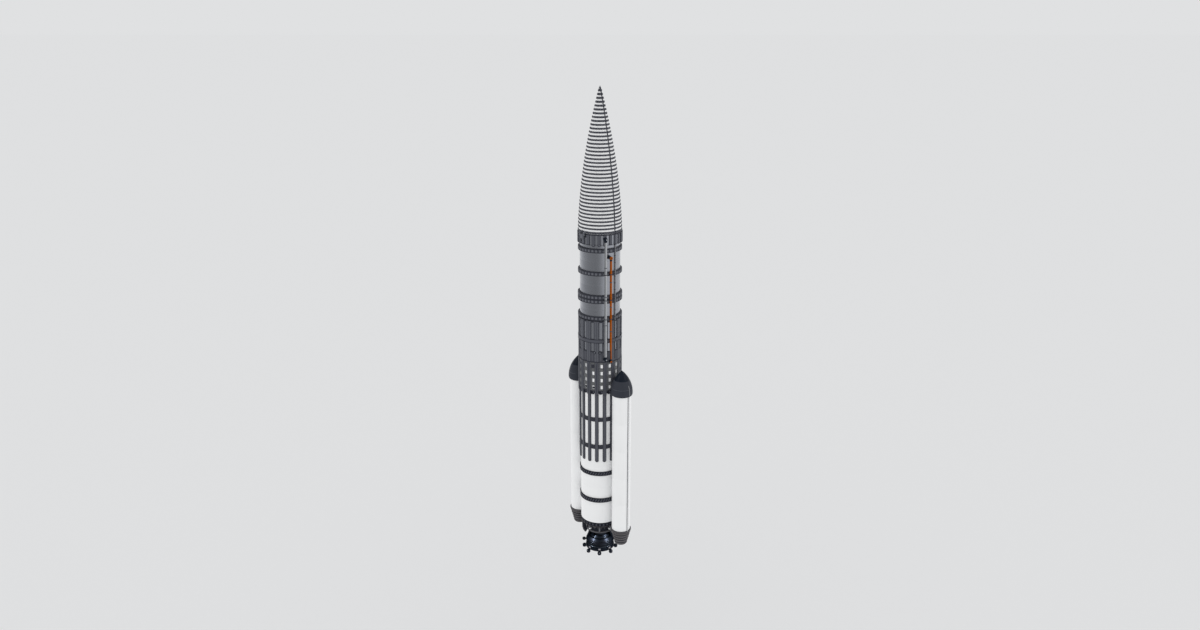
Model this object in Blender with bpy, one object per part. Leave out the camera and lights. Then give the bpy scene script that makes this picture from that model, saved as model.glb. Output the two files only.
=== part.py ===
"""Space rocket with two strap-on boosters, built as separate pieces.

Metres, +Z up, nose at the top. The origin is on the axis, in the hold-down plane under the
aft ring, where the launch pad carries the rocket. The boosters stand at +X and -X. The
payload fairing splits on the X-Z plane into halves that swing towards +Y and -Y.
Azimuths are measured from +X, anticlockwise seen from above.
"""

import math

import bmesh
import bpy
from mathutils import Matrix, Vector

GAP = 0.0003           # between pieces that touch
MOVING_GAP = 0.005     # between pieces that move past each other
SIDES = 32             # facets round the core
BOOSTER_SIDES = 24
SMALL_SIDES = 12       # facets round pipes and pins

# Core vehicle
TANK_R = 1.525
AFT_RING_R = 1.50
AFT_RING_FOOT = 0.02       # the pads reach down to the hold-down plane, at 0
AFT_RING_TOP = 0.447
CORE_TOP = 14.20
UPPER_TANK_TOP = 23.30
COLLAR_TOP = 24.13
RAISED_R = 1.60        # hoops that stand a little proud of the white core
STRIP_R = 1.635
STRIP_WIDTH = 0.29
STRIP_COUNT = 16
STRIP_PHASE_DEG = -7.3
STRIP_FOOT = 5.86

# Lattice and stringer sections, above the white core
LATTICE_FOOT = 11.60
PANEL_WALL = (1.565, 1.645)   # corner radii of the flat panels between the strips
LATTICE_STRIP_R = 1.695
WINDOW_ROWS = (12.20, 12.77, 13.34, 13.91)
WINDOW_SIZE = (0.24, 0.30)
STRINGER_TOP = 17.50
STRINGER_R = 1.680
COLLAR_WALL_R = 1.610
COLLAR_R = 1.692
COLLAR_RIBS = 24
COLLAR_RIB_WIDTH = 0.20
RACEWAY_R = 1.688
RACEWAY_WIDTH = 0.070
UMBILICAL_SIZE = (0.60, 0.80, 0.095)    # width, height, thickness
UMBILICAL_Z = 16.75

# Payload fairing: a cone with a bulge of its sides, greatest at half its height
FAIRING_FOOT = COLLAR_TOP + MOVING_GAP
FAIRING_TIP = 34.60
FAIRING_R = 1.60
FAIRING_BULGE = 0.30
FAIRING_WALL = 0.06
FAIRING_SOLID_TIP = 0.90
FAIRING_HINGE_Y = 1.80
FAIRING_HINGE_Z = 24.05
HINGE_PLATE = 0.06         # how far a hinge plate reaches past its pivot line
HINGE_BLOCK = (0.24, 0.25)     # width, and depth under the pivot line
HINGE_ARM_X = 0.19         # each half has an arm on either side of its hinge block
HINGE_ARM_WIDTH = 0.10
HINGE_ARM_TOP = 24.30
HINGE_ARM_INNER_Y = 1.55
HINGE_PLATE_WIDTH = 0.08
HINGE_PLATE_INNER_Y = 1.735
HINGE_PLATE_TOP = 24.20

# Payload adapter: a hollow cone between two flanges, given by their radii
ADAPTER_TOP = 25.10
ADAPTER_FOOT_FLANGE = (1.18, 1.32)
ADAPTER_TOP_FLANGE = (0.56, 0.76)
ADAPTER_FLANGE_HEIGHT = 0.08
ADAPTER_CONE_FOOT_R = 1.25

# Boosters
BOOSTER_X = 2.44
BOOSTER_R = 0.729
BOOSTER_FOOT = 0.22
BOOSTER_TOP = 11.68
BOOSTER_RACEWAY = (0.10, 0.055)     # width, and how far it stands out
CAP_R = 0.84
CAP_SHOULDER = 11.90
CAP_JOINT = 12.92
CAP_TIP = 13.65
CORE_CLEARANCE_R = 1.715   # the caps are cut back to this radius round the core axis
SKIRT_FOOT = -1.12
SKIRT_LIP = (0.812, 0.08, 0.20)     # radius, foot z, top z
SKIRT_BANDS = 5
SKIRT_BAND_R = (0.765, 0.520)       # of the top band and of the bottom one
SKIRT_TAPER = 0.03         # each band is this much narrower at its foot
SKIRT_MOUTH = (0.42, 0.55)          # radius and depth of the recess round the nozzle
BOOSTER_STRUTS = (("forward", 10.85, 11.15), ("aft", 1.05, 1.45))    # name, foot z, top z
STRUT_WIDTH = 0.08

# Engine bay: the gimbal centre is on the axis
GIMBAL_Z = -0.66
FRAME_RING = (0.98, 1.10)
GIMBAL_RING = (0.83, 0.92)
YOKE_OUTER = 0.785
PIN_R = 0.045
PIN_HOLE_R = 0.052
YOKE_ARM = (0.07, 0.22)     # thickness, width
FRAME_FLANGE = (1.10, 1.29, -0.10)     # inner radius, outer radius, foot z
FRAME_POST_R = 0.075
FRAME_POST_AZIMUTHS = (-45.0, 0.0, 90.0, 135.0, 180.0, -90.0)
DUCT_R = 0.075
DUCT_AZIMUTHS = (("right", 45.0), ("left", -135.0))
DUCT_BEND = ((1.385, -0.62), (1.355, -0.84), (1.27, -1.04), (1.16, -1.18))    # (radius, z)
BELL_TOP = -0.98
BELL_FOOT = -2.30
BELL_ROOF = -1.22          # the inside of the bell, on the axis
OUTLET_R = 0.14
OUTLET_DISTANCE = 1.32
OUTLET_Z = -1.86
OUTLET_WALL_R = 1.142      # just clear of the bell beside the outlet
VERNIER_RING = (1.05, 1.11, 0.08)    # inner radius, outer radius, height
VERNIER_COUNT = 8
VERNIER_RING_R = 1.28
VERNIER_Z = -2.45
STALK_R = 0.035
PAD_RADII = (1.34, 1.52)
PAD_WIDTH = 0.22
PAD_TOP = 0.10
PAD_AZIMUTHS = (60.0, 120.0, -120.0, -60.0)

PIPE_SOCKET = 0.22         # length of a fitting's socket
PIPES = (
    # name, azimuth, distance from the axis, radius, (foot z, top z),
    # (radius, length and azimuth of a thin end at the foot, or nothing),
    # (radius of what carries the foot, and the top), colour
    ("grey_pipe", -29.8, 1.84, 0.100, (14.52, 23.81), None, (1.680, 1.692), (0.36, 0.37, 0.38)),
    ("orange_pipe", -16.9, 1.83, 0.085, (14.30, 22.39), (0.052, 0.95, -15.9), (1.660, 1.525),
     (0.24, 0.055, 0.012)),
)
CORE_HOOPS = (
    # name, foot z, top z, outer radius
    ("core_ring_lower", 2.31, 2.67, RAISED_R),
    ("core_ring_upper", 4.66, 5.00, RAISED_R),
)
TANK_RINGS = (
    # name, list of (foot z, top z) bands, outer radius
    ("tank_ring_top", ((22.74, 23.04),), 1.655),
    ("tank_ring_upper", ((21.00, 21.30),), 1.660),
    ("tank_ring_double", ((18.88, 19.18), (19.21, 19.50)), 1.685),
    ("tank_ring_lower", ((17.56, 17.86),), 1.680),
)
RING_GROOVE = 0.03         # depth of the groove between two bands
STRIP_HOOPS = ((6.99, 7.33), (9.31, 9.64))
STRINGER_HOOPS = ((14.21, 14.33), (15.04, 15.16), (15.92, 16.04))

DARK_METAL = (0.085, 0.090, 0.110)
DARK_PAINT = (0.045, 0.048, 0.060)
NAVY_METAL = (0.008, 0.010, 0.018)
WHITE_PAINT = (0.80, 0.80, 0.81)
TUBE_METAL = (0.24, 0.255, 0.29)


def clear_scene():
    for item in list(bpy.data.objects):
        bpy.data.objects.remove(item, do_unlink=True)


def material(name, colour, roughness, metallic):
    """A plain Principled material of the piece's own."""
    made = bpy.data.materials.new(name)
    made.use_nodes = True
    shader = made.node_tree.nodes["Principled BSDF"]
    shader.inputs["Base Color"].default_value = (*colour, 1.0)
    shader.inputs["Roughness"].default_value = roughness
    shader.inputs["Metallic"].default_value = metallic
    return made


def add_object(name, bm, colour, roughness=0.5, metallic=0.0, smooth=True):
    """Turns a bmesh into a named object with outward faces and its own material."""
    bmesh.ops.recalc_face_normals(bm, faces=bm.faces)
    mesh = bpy.data.meshes.new(name)
    bm.to_mesh(mesh)
    bm.free()
    if smooth:
        mesh.shade_smooth()
        mesh.set_sharp_from_angle(angle=math.radians(32))
    mesh.materials.append(material(name + "_finish", colour, roughness, metallic))
    made = bpy.data.objects.new(name, mesh)
    bpy.context.scene.collection.objects.link(made)
    return made


def add_cutter(name, bm):
    """A shape that only cuts or joins another one."""
    bmesh.ops.recalc_face_normals(bm, faces=bm.faces)
    mesh = bpy.data.meshes.new(name)
    bm.to_mesh(mesh)
    bm.free()
    made = bpy.data.objects.new(name, mesh)
    made.hide_render = True
    made.display_type = "WIRE"
    bpy.context.scene.collection.objects.link(made)
    return made


def combine(target, other, operation):
    """Adds a Boolean modifier to the target: UNION or DIFFERENCE with the other shape."""
    change = target.modifiers.new(other.name, "BOOLEAN")
    change.operation = operation
    change.solver = "EXACT"
    change.object = other


def spin_profile(bm, profile, steps, closed, sweep=math.tau, centre=(0.0, 0.0)):
    """Spins (radius, height) points round a vertical line through the centre."""
    points = [bm.verts.new((centre[0] + r, centre[1], z)) for r, z in profile]
    edges = [bm.edges.new(pair) for pair in zip(points, points[1:])]
    if closed:
        edges.append(bm.edges.new((points[-1], points[0])))
    bmesh.ops.spin(
        bm, geom=points + edges, cent=(centre[0], centre[1], 0.0), axis=(0.0, 0.0, 1.0),
        angle=sweep, steps=steps, use_duplicate=False)
    bmesh.ops.remove_doubles(bm, verts=bm.verts, dist=0.00001)


def turned(profile, closed=False, steps=SIDES, centre=(0.0, 0.0)):
    """A solid of revolution. An open profile begins and ends on the axis."""
    bm = bmesh.new()
    spin_profile(bm, profile, steps, closed, centre=centre)
    return bm


def ring(inner, outer, foot, top, steps=SIDES):
    profile = ((inner, foot), (outer, foot), (outer, top), (inner, top))
    return turned(profile, closed=True, steps=steps)


def panel_wall(foot, top):
    """A wall of flat panels, with a corner under each strip."""
    bm = ring(*PANEL_WALL, foot, top, steps=STRIP_COUNT)
    bmesh.ops.rotate(bm, verts=bm.verts, cent=(0.0, 0.0, 0.0),
                     matrix=at_azimuth(STRIP_PHASE_DEG))
    return bm


def disc(radius, foot, top, steps=SIDES, centre=(0.0, 0.0)):
    return turned(((0.0, foot), (radius, foot), (radius, top), (0.0, top)),
                  steps=steps, centre=centre)


def at_azimuth(degrees):
    return Matrix.Rotation(math.radians(degrees), 4, "Z")


def radial_box(bm, azimuth, inner, outer, width, foot, top):
    """A box whose long side points away from the axis at the azimuth."""
    place = Matrix.Translation(((inner + outer) / 2, 0.0, (foot + top) / 2))
    size = Matrix.Diagonal((outer - inner, width, top - foot, 1.0))
    bmesh.ops.create_cube(bm, size=1.0, matrix=at_azimuth(azimuth) @ place @ size)


def upright_box(bm, x, width, y_from, y_to, foot, top):
    """A box along the axes, centred on x."""
    place = Matrix.Translation((x, (y_from + y_to) / 2, (foot + top) / 2))
    size = Matrix.Diagonal((width, abs(y_to - y_from), top - foot, 1.0))
    bmesh.ops.create_cube(bm, size=1.0, matrix=place @ size)


def rod(bm, start, end, radius, steps=SMALL_SIDES):
    """A solid round rod between two points."""
    axis = end - start
    turn = axis.to_track_quat("Z", "Y").to_matrix().to_4x4()
    place = Matrix.Translation((start + end) / 2) @ turn
    bmesh.ops.create_cone(bm, cap_ends=True, segments=steps, radius1=radius,
                          radius2=radius, depth=axis.length, matrix=place)


def point_at(azimuth, radius, z):
    return at_azimuth(azimuth) @ Vector((radius, 0.0, z))


def ogive(base_radius, length, height):
    """Radius of a tangent ogive at a height above its base."""
    curve = (base_radius ** 2 + length ** 2) / (2 * base_radius)
    return math.sqrt(curve ** 2 - height ** 2) - (curve - base_radius)


def fairing_radius(height):
    """Outer radius of the fairing at a height above its foot."""
    share = height / (FAIRING_TIP - FAIRING_FOOT)
    return (1.0 - share) * (FAIRING_R + 4 * FAIRING_BULGE * share)


def ogive_points(base_radius, length, foot, first, last, count):
    """(radius, z) points up an ogive between two heights above its foot."""
    steps = [first + (last - first) * i / (count - 1) for i in range(count)]
    return [(max(ogive(base_radius, length, h), 0.0), foot + h) for h in steps]


def strips(foot, top, inner, outer, width, count=STRIP_COUNT, phase=STRIP_PHASE_DEG):
    """Vertical bars all round the axis, as one shape of separate boxes."""
    bm = bmesh.new()
    for index in range(count):
        radial_box(bm, phase + 360.0 * index / count, inner, outer, width, foot, top)
    return bm


def add_core_tank():
    add_object("core_tank", disc(TANK_R, AFT_RING_TOP + GAP, CORE_TOP), WHITE_PAINT, 0.35)


def add_core_hoops():
    for name, foot, top, outer in CORE_HOOPS:
        add_object(name, ring(TANK_R + GAP, outer, foot, top), DARK_PAINT, 0.55, 0.3)


def add_strip_cage():
    """Sixteen strips down the white core, tied by two hoops."""
    top = LATTICE_FOOT - GAP
    inner = TANK_R + GAP
    cage = add_object("strip_cage", strips(STRIP_FOOT, top, inner, STRIP_R, STRIP_WIDTH),
                      DARK_METAL, 0.5, 0.5, smooth=False)
    for index, (foot, hoop_top) in enumerate(STRIP_HOOPS):
        hoop = add_cutter(f"strip_hoop_{index}", ring(inner, RAISED_R, foot, hoop_top))
        combine(cage, hoop, "UNION")


def add_lattice_section():
    """An open wall round the top of the white core: windows between the strips."""
    inner, outer = PANEL_WALL
    section = add_object("lattice_section", panel_wall(LATTICE_FOOT, CORE_TOP - GAP),
                         DARK_METAL, 0.5, 0.5, smooth=False)
    bars = strips(LATTICE_FOOT, CORE_TOP - GAP, inner + 0.02, LATTICE_STRIP_R, STRIP_WIDTH)
    combine(section, add_cutter("lattice_bars", bars), "UNION")
    width, height = WINDOW_SIZE
    holes = bmesh.new()
    for index in range(STRIP_COUNT):
        azimuth = STRIP_PHASE_DEG + 360.0 * (index + 0.5) / STRIP_COUNT
        for middle in WINDOW_ROWS:
            radial_box(holes, azimuth, inner - 0.1, outer + 0.1, width,
                       middle - height / 2, middle + height / 2)
    combine(section, add_cutter("lattice_windows", holes), "DIFFERENCE")


def add_stringer_section():
    """The closed section above the lattice, with wide stringers and three hoops."""
    foot = CORE_TOP
    inner = PANEL_WALL[0] + 0.02
    section = add_object("stringer_section", panel_wall(foot, STRINGER_TOP), DARK_METAL, 0.5,
                         0.5, smooth=False)
    bars = strips(foot, STRINGER_TOP, inner, STRINGER_R, STRIP_WIDTH)
    combine(section, add_cutter("stringer_bars", bars), "UNION")
    for index, (hoop_foot, top) in enumerate(STRINGER_HOOPS):
        hoop = ring(inner, STRINGER_R - 0.02, hoop_foot, top)
        combine(section, add_cutter(f"stringer_hoop_{index}", hoop), "UNION")


def add_upper_tank():
    add_object("upper_tank", disc(TANK_R, CORE_TOP + GAP, UPPER_TANK_TOP), TUBE_METAL, 0.35, 0.8)


def add_tank_rings():
    """Rings round the upper tank, each with a notch for the cable raceway."""
    inner = TANK_R + GAP
    for name, bands, outer in TANK_RINGS:
        profile = [(inner, bands[0][0]), (outer, bands[0][0])]
        for (_, top), (next_foot, _) in zip(bands, bands[1:]):
            profile += [(outer, top), (outer - RING_GROOVE, (top + next_foot) / 2), (outer, next_foot)]
        profile += [(outer, bands[-1][1]), (inner, bands[-1][1])]
        made = add_object(name, turned(profile, closed=True), DARK_METAL, 0.5, 0.5)
        notch = bmesh.new()
        radial_box(notch, 0.0, inner - 0.1, outer + 0.1, RACEWAY_WIDTH + 2 * GAP,
                   bands[0][0] - 0.1, bands[-1][1] + 0.1)
        combine(made, add_cutter(name + "_notch", notch), "DIFFERENCE")


def add_cable_raceway():
    """One straight cover down the +X side of the upper tank, through the rings."""
    bm = bmesh.new()
    radial_box(bm, 0.0, TANK_R + GAP, RACEWAY_R, RACEWAY_WIDTH, STRINGER_TOP + GAP,
               UPPER_TANK_TOP - GAP)
    add_object("cable_raceway", bm, DARK_PAINT, 0.5, 0.3, smooth=False)


def add_fairing_collar():
    """The fluted ring that carries the fairing. It closes the top of the upper tank."""
    foot = UPPER_TANK_TOP + GAP
    collar = add_object("fairing_collar", disc(COLLAR_WALL_R, foot, COLLAR_TOP),
                        DARK_METAL, 0.5, 0.5, smooth=False)
    ribs = strips(foot, COLLAR_TOP, COLLAR_WALL_R - 0.03, COLLAR_R, COLLAR_RIB_WIDTH,
                  COLLAR_RIBS, 0.0)
    combine(collar, add_cutter("collar_ribs", ribs), "UNION")


def add_fairing_hinges():
    """The collar's side of the two fairing hinges."""
    width, depth = HINGE_BLOCK
    for side, azimuth in (("left", 90.0), ("right", -90.0)):
        bm = bmesh.new()
        radial_box(bm, azimuth, COLLAR_R + GAP, FAIRING_HINGE_Y + HINGE_PLATE, width,
                   FAIRING_HINGE_Z - depth, FAIRING_HINGE_Z + HINGE_PLATE)
        add_object(f"fairing_hinge_{side}", bm, DARK_METAL, 0.5, 0.5, smooth=False)


def add_fairing_half(side, sign):
    """A hollow half shell with a solid tip. Its origin is on its hinge line."""
    length = FAIRING_TIP - FAIRING_FOOT
    hollow = length - FAIRING_SOLID_TIP
    outer = [length * index / 14 for index in range(15)]
    inner = [hollow * index / 8 for index in range(9)]
    profile = [(0.0, FAIRING_FOOT + hollow)]
    profile += [(fairing_radius(h) - FAIRING_WALL, FAIRING_FOOT + h) for h in reversed(inner)]
    profile += [(fairing_radius(h), FAIRING_FOOT + h) for h in outer]
    bm = bmesh.new()
    spin_profile(bm, profile, SIDES // 2, False, sweep=math.pi)
    bmesh.ops.holes_fill(bm, edges=[e for e in bm.edges if e.is_boundary], sides=0)
    if sign < 0:
        bmesh.ops.rotate(bm, verts=bm.verts, cent=(0.0, 0.0, 0.0), matrix=at_azimuth(180.0))
    hinge = (0.0, sign * FAIRING_HINGE_Y, FAIRING_HINGE_Z)
    shift = (-hinge[0], sign * MOVING_GAP / 2 - hinge[1], -hinge[2])
    bmesh.ops.translate(bm, verts=bm.verts, vec=shift)
    half = add_object(f"fairing_half_{side}", bm, WHITE_PAINT, 0.4)
    half.location = hinge
    arms = bmesh.new()
    plates = bmesh.new()
    reach = FAIRING_HINGE_Y + HINGE_PLATE
    for x in (-HINGE_ARM_X, HINGE_ARM_X):
        upright_box(arms, x, HINGE_ARM_WIDTH, sign * HINGE_ARM_INNER_Y, sign * reach,
                    FAIRING_FOOT + 0.01, HINGE_ARM_TOP)
        upright_box(plates, x, HINGE_PLATE_WIDTH, sign * HINGE_PLATE_INNER_Y,
                    sign * (reach - MOVING_GAP), FAIRING_HINGE_Z - HINGE_PLATE, HINGE_PLATE_TOP)
    combine(half, add_cutter(f"fairing_arms_{side}", arms), "UNION")
    combine(half, add_cutter(f"fairing_plates_{side}", plates), "UNION")


def add_payload_adapter():
    """The hollow cone inside the fairing that a payload is bolted to."""
    foot = COLLAR_TOP + GAP
    flange_top = foot + ADAPTER_FLANGE_HEIGHT
    face_foot = ADAPTER_TOP - ADAPTER_FLANGE_HEIGHT
    foot_inner, foot_outer = ADAPTER_FOOT_FLANGE
    top_inner, top_outer = ADAPTER_TOP_FLANGE
    profile = ((foot_outer, foot), (foot_outer, flange_top), (ADAPTER_CONE_FOOT_R, flange_top),
               (top_outer, face_foot), (top_outer, ADAPTER_TOP), (top_inner, ADAPTER_TOP),
               (top_inner, face_foot), (foot_inner, flange_top), (foot_inner, foot))
    add_object("payload_adapter", turned(profile, closed=True), TUBE_METAL, 0.4, 0.8)


def add_pipes():
    """Two long outside pipes, each between a fitting at its foot and one at its top."""
    for name, azimuth, distance, radius, (foot, top), thin_end, walls, colour in PIPES:
        run = bmesh.new()
        run_foot = foot + PIPE_SOCKET + GAP
        foot_azimuth, foot_radius = azimuth, radius
        if thin_end:
            foot_radius, length, foot_azimuth = thin_end
            rod(run, point_at(azimuth, distance, foot + length),
                point_at(azimuth, distance, top - PIPE_SOCKET - GAP), radius)
        else:
            rod(run, point_at(azimuth, distance, run_foot),
                point_at(azimuth, distance, top - PIPE_SOCKET - GAP), radius)
        pipe = add_object(name, run, colour, 0.4, 0.3)
        if thin_end:
            end = bmesh.new()
            rod(end, point_at(foot_azimuth, distance, run_foot),
                point_at(foot_azimuth, distance, foot + length + radius), foot_radius)
            combine(pipe, add_cutter(name + "_thin_end", end), "UNION")
        add_pipe_fitting(name + "_foot_fitting", foot_azimuth, distance, foot_radius, foot, 1.0,
                         walls[0])
        add_pipe_fitting(name + "_top_fitting", azimuth, distance, radius, top, -1.0, walls[1])


def add_pipe_fitting(name, azimuth, distance, radius, z, direction, wall):
    """An elbow from the wall, with a socket that points along the pipe."""
    elbow = bmesh.new()
    rod(elbow, point_at(azimuth, wall + 0.002, z),
        point_at(azimuth, distance + radius + 0.03, z), radius + 0.035)
    fitting = add_object(name, elbow, NAVY_METAL, 0.35, 0.6)
    socket = bmesh.new()
    rod(socket, point_at(azimuth, distance, z),
        point_at(azimuth, distance, z + direction * PIPE_SOCKET), radius + 0.02)
    combine(fitting, add_cutter(name + "_socket", socket), "UNION")


def add_umbilical_plate():
    """A flat connector plate on the +Y side, where the pad's lines are plugged in."""
    width, height, thickness = UMBILICAL_SIZE
    inner = STRINGER_R + 0.005
    bm = bmesh.new()
    radial_box(bm, 90.0, inner, inner + thickness, width, UMBILICAL_Z - height / 2,
               UMBILICAL_Z + height / 2)
    add_object("umbilical_plate", bm, DARK_PAINT, 0.5, 0.3, smooth=False)


def add_boosters():
    for side, sign in (("left", -1.0), ("right", 1.0)):
        add_booster(side, sign)


def add_booster(side, sign):
    """Casing, two-piece nose cap, stepped aft skirt, nozzle and two struts."""
    centre = (sign * BOOSTER_X, 0.0)
    name = f"booster_{side}_"
    casing = disc(BOOSTER_R, BOOSTER_FOOT + GAP, BOOSTER_TOP - GAP, BOOSTER_SIDES, centre)
    add_object(name + "casing", casing, WHITE_PAINT, 0.35)
    length = CAP_TIP - CAP_SHOULDER
    joint = CAP_JOINT - CAP_SHOULDER
    skirt_curve = ogive_points(CAP_R, length, CAP_SHOULDER, 0.0, joint, 5)
    skirt = [(0.0, BOOSTER_TOP), (0.755, BOOSTER_TOP), (0.815, BOOSTER_TOP + 0.05)]
    skirt += skirt_curve + [(0.0, CAP_JOINT)]
    nose = add_object(name + "nose_skirt", turned(skirt, steps=BOOSTER_SIDES, centre=centre),
                      DARK_PAINT, 0.5, 0.2)
    room = disc(CORE_CLEARANCE_R, BOOSTER_TOP - 1.0, CAP_TIP + 1.0)
    combine(nose, add_cutter(name + "core_room", room), "DIFFERENCE")
    tip = [(0.0, CAP_JOINT + GAP)]
    tip += ogive_points(CAP_R, length, CAP_SHOULDER, joint + GAP, length - 0.03, 5)
    tip += [(0.0, CAP_TIP)]
    add_object(name + "nose_tip", turned(tip, steps=BOOSTER_SIDES, centre=centre), NAVY_METAL,
               0.35, 0.2)
    add_booster_raceway(name, sign)
    add_booster_tail(name, centre)
    add_booster_struts(name, sign)


def add_booster_raceway(name, sign):
    """A straight cable cover down the outboard side of the casing."""
    width, height = BOOSTER_RACEWAY
    wall = sign * (BOOSTER_X + BOOSTER_R + GAP)
    place = Matrix.Translation((wall + sign * height / 2, 0.0, (BOOSTER_FOOT + BOOSTER_TOP) / 2))
    size = Matrix.Diagonal((height, width, BOOSTER_TOP - BOOSTER_FOOT - 2 * GAP, 1.0))
    bm = bmesh.new()
    bmesh.ops.create_cube(bm, size=1.0, matrix=place @ size)
    add_object(name + "raceway", bm, WHITE_PAINT, 0.4, smooth=False)


def add_booster_tail(name, centre):
    """Stepped aft skirt: bands that narrow downwards, open below for the nozzle."""
    lip_r, lip_foot, lip_top = SKIRT_LIP
    first_r, last_r = SKIRT_BAND_R
    mouth_r, mouth_depth = SKIRT_MOUTH
    mouth_top = SKIRT_FOOT + mouth_depth
    band = (lip_foot - SKIRT_FOOT) / SKIRT_BANDS
    profile = [(0.0, BOOSTER_FOOT), (BOOSTER_R, BOOSTER_FOOT), (lip_r, lip_top), (lip_r, lip_foot)]
    for index in range(SKIRT_BANDS):
        top = lip_foot - index * band
        radius = first_r + (last_r - first_r) * index / (SKIRT_BANDS - 1)
        profile += [(radius, top), (radius - SKIRT_TAPER, top - band)]
    profile += [(mouth_r, SKIRT_FOOT), (mouth_r, mouth_top), (0.0, mouth_top)]
    add_object(name + "aft_skirt", turned(profile, steps=BOOSTER_SIDES, centre=centre),
               DARK_METAL, 0.6, 0.4)
    top = mouth_top - GAP
    nozzle = ((0.0, top), (0.20, top), (0.20, top - 0.06), (0.16, top - 0.12),
              (0.26, top - 0.30), (0.37, SKIRT_FOOT + 0.02), (0.345, SKIRT_FOOT + 0.02),
              (0.235, top - 0.30), (0.13, top - 0.12), (0.0, top - 0.10))
    add_object(name + "nozzle", turned(nozzle, steps=BOOSTER_SIDES, centre=centre), NAVY_METAL,
               0.4, 0.7)


def add_booster_struts(name, sign):
    """Short blocks in the gap between the core tank and the booster casing."""
    azimuth = 0.0 if sign > 0 else 180.0
    for place, foot, top in BOOSTER_STRUTS:
        bm = bmesh.new()
        radial_box(bm, azimuth, TANK_R + GAP, BOOSTER_X - BOOSTER_R - GAP, STRUT_WIDTH, foot, top)
        add_object(f"{name}{place}_strut", bm, DARK_METAL, 0.5, 0.5, smooth=False)


def add_aft_ring():
    """The dark band under the white core, with four hold-down pads."""
    made = add_object("aft_ring", disc(AFT_RING_R, AFT_RING_FOOT, AFT_RING_TOP), DARK_METAL, 0.5,
                      0.5)
    pads = bmesh.new()
    for azimuth in PAD_AZIMUTHS:
        radial_box(pads, azimuth, *PAD_RADII, PAD_WIDTH, 0.0, PAD_TOP)
    combine(made, add_cutter("hold_down_pads", pads), "UNION")


def add_thrust_frame():
    """Six posts from a flange under the aft ring down to the ring that holds the gimbal."""
    inner, outer = FRAME_RING
    foot, top = GIMBAL_Z - 0.075, GIMBAL_Z + 0.075
    frame = add_object("thrust_frame", ring(inner, outer, foot, top), DARK_METAL, 0.55, 0.5,
                       smooth=False)
    flange_inner, flange_outer, flange_foot = FRAME_FLANGE
    flange = ring(flange_inner, flange_outer, flange_foot, AFT_RING_FOOT - GAP)
    combine(frame, add_cutter("frame_flange", flange), "UNION")
    posts = bmesh.new()
    for azimuth in FRAME_POST_AZIMUTHS:
        rod(posts, point_at(azimuth, flange_outer - 0.05, flange_foot + 0.05),
            point_at(azimuth, (inner + outer) / 2, GIMBAL_Z), FRAME_POST_R, 8)
    combine(frame, add_cutter("frame_posts", posts), "UNION")
    holes = bmesh.new()
    rod(holes, point_at(0.0, -1.4, GIMBAL_Z), point_at(0.0, 1.4, GIMBAL_Z), PIN_HOLE_R)
    combine(frame, add_cutter("frame_pin_holes", holes), "DIFFERENCE")


def add_exhaust_ducts():
    """Two bent ducts beside the engine, from the aft ring down towards the bell."""
    bend = ((DUCT_BEND[0][0], AFT_RING_FOOT - GAP),) + DUCT_BEND
    for side, azimuth in DUCT_AZIMUTHS:
        curve = bpy.data.curves.new(f"exhaust_duct_{side}", "CURVE")
        curve.dimensions = "3D"
        curve.bevel_depth = DUCT_R
        curve.bevel_resolution = 4
        curve.use_fill_caps = True
        line = curve.splines.new("POLY")
        line.points.add(len(bend) - 1)
        for point, (radius, z) in zip(line.points, bend):
            point.co = (*point_at(azimuth, radius, z), 1.0)
        curve.materials.append(material(f"exhaust_duct_{side}_finish", DARK_METAL, 0.45, 0.7))
        made = bpy.data.objects.new(f"exhaust_duct_{side}", curve)
        bpy.context.scene.collection.objects.link(made)


def add_gimbal_ring():
    """Turns on pins along X in the frame, and carries the engine on pins along Y."""
    inner, outer = GIMBAL_RING
    bm = ring(inner, outer, GIMBAL_Z - 0.07, GIMBAL_Z + 0.07)
    bmesh.ops.translate(bm, verts=bm.verts, vec=(0.0, 0.0, -GIMBAL_Z))
    made = add_object("gimbal_ring", bm, TUBE_METAL, 0.4, 0.8, smooth=False)
    made.location.z = GIMBAL_Z
    pins = bmesh.new()
    for azimuth in (0.0, 180.0):
        rod(pins, point_at(azimuth, outer - 0.02, GIMBAL_Z),
            point_at(azimuth, FRAME_RING[1] - 0.02, GIMBAL_Z), PIN_R)
    for azimuth in (90.0, -90.0):
        rod(pins, point_at(azimuth, inner + 0.02, GIMBAL_Z),
            point_at(azimuth, 0.70, GIMBAL_Z), PIN_R)
    combine(made, add_cutter("gimbal_pins", pins), "UNION")


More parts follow.
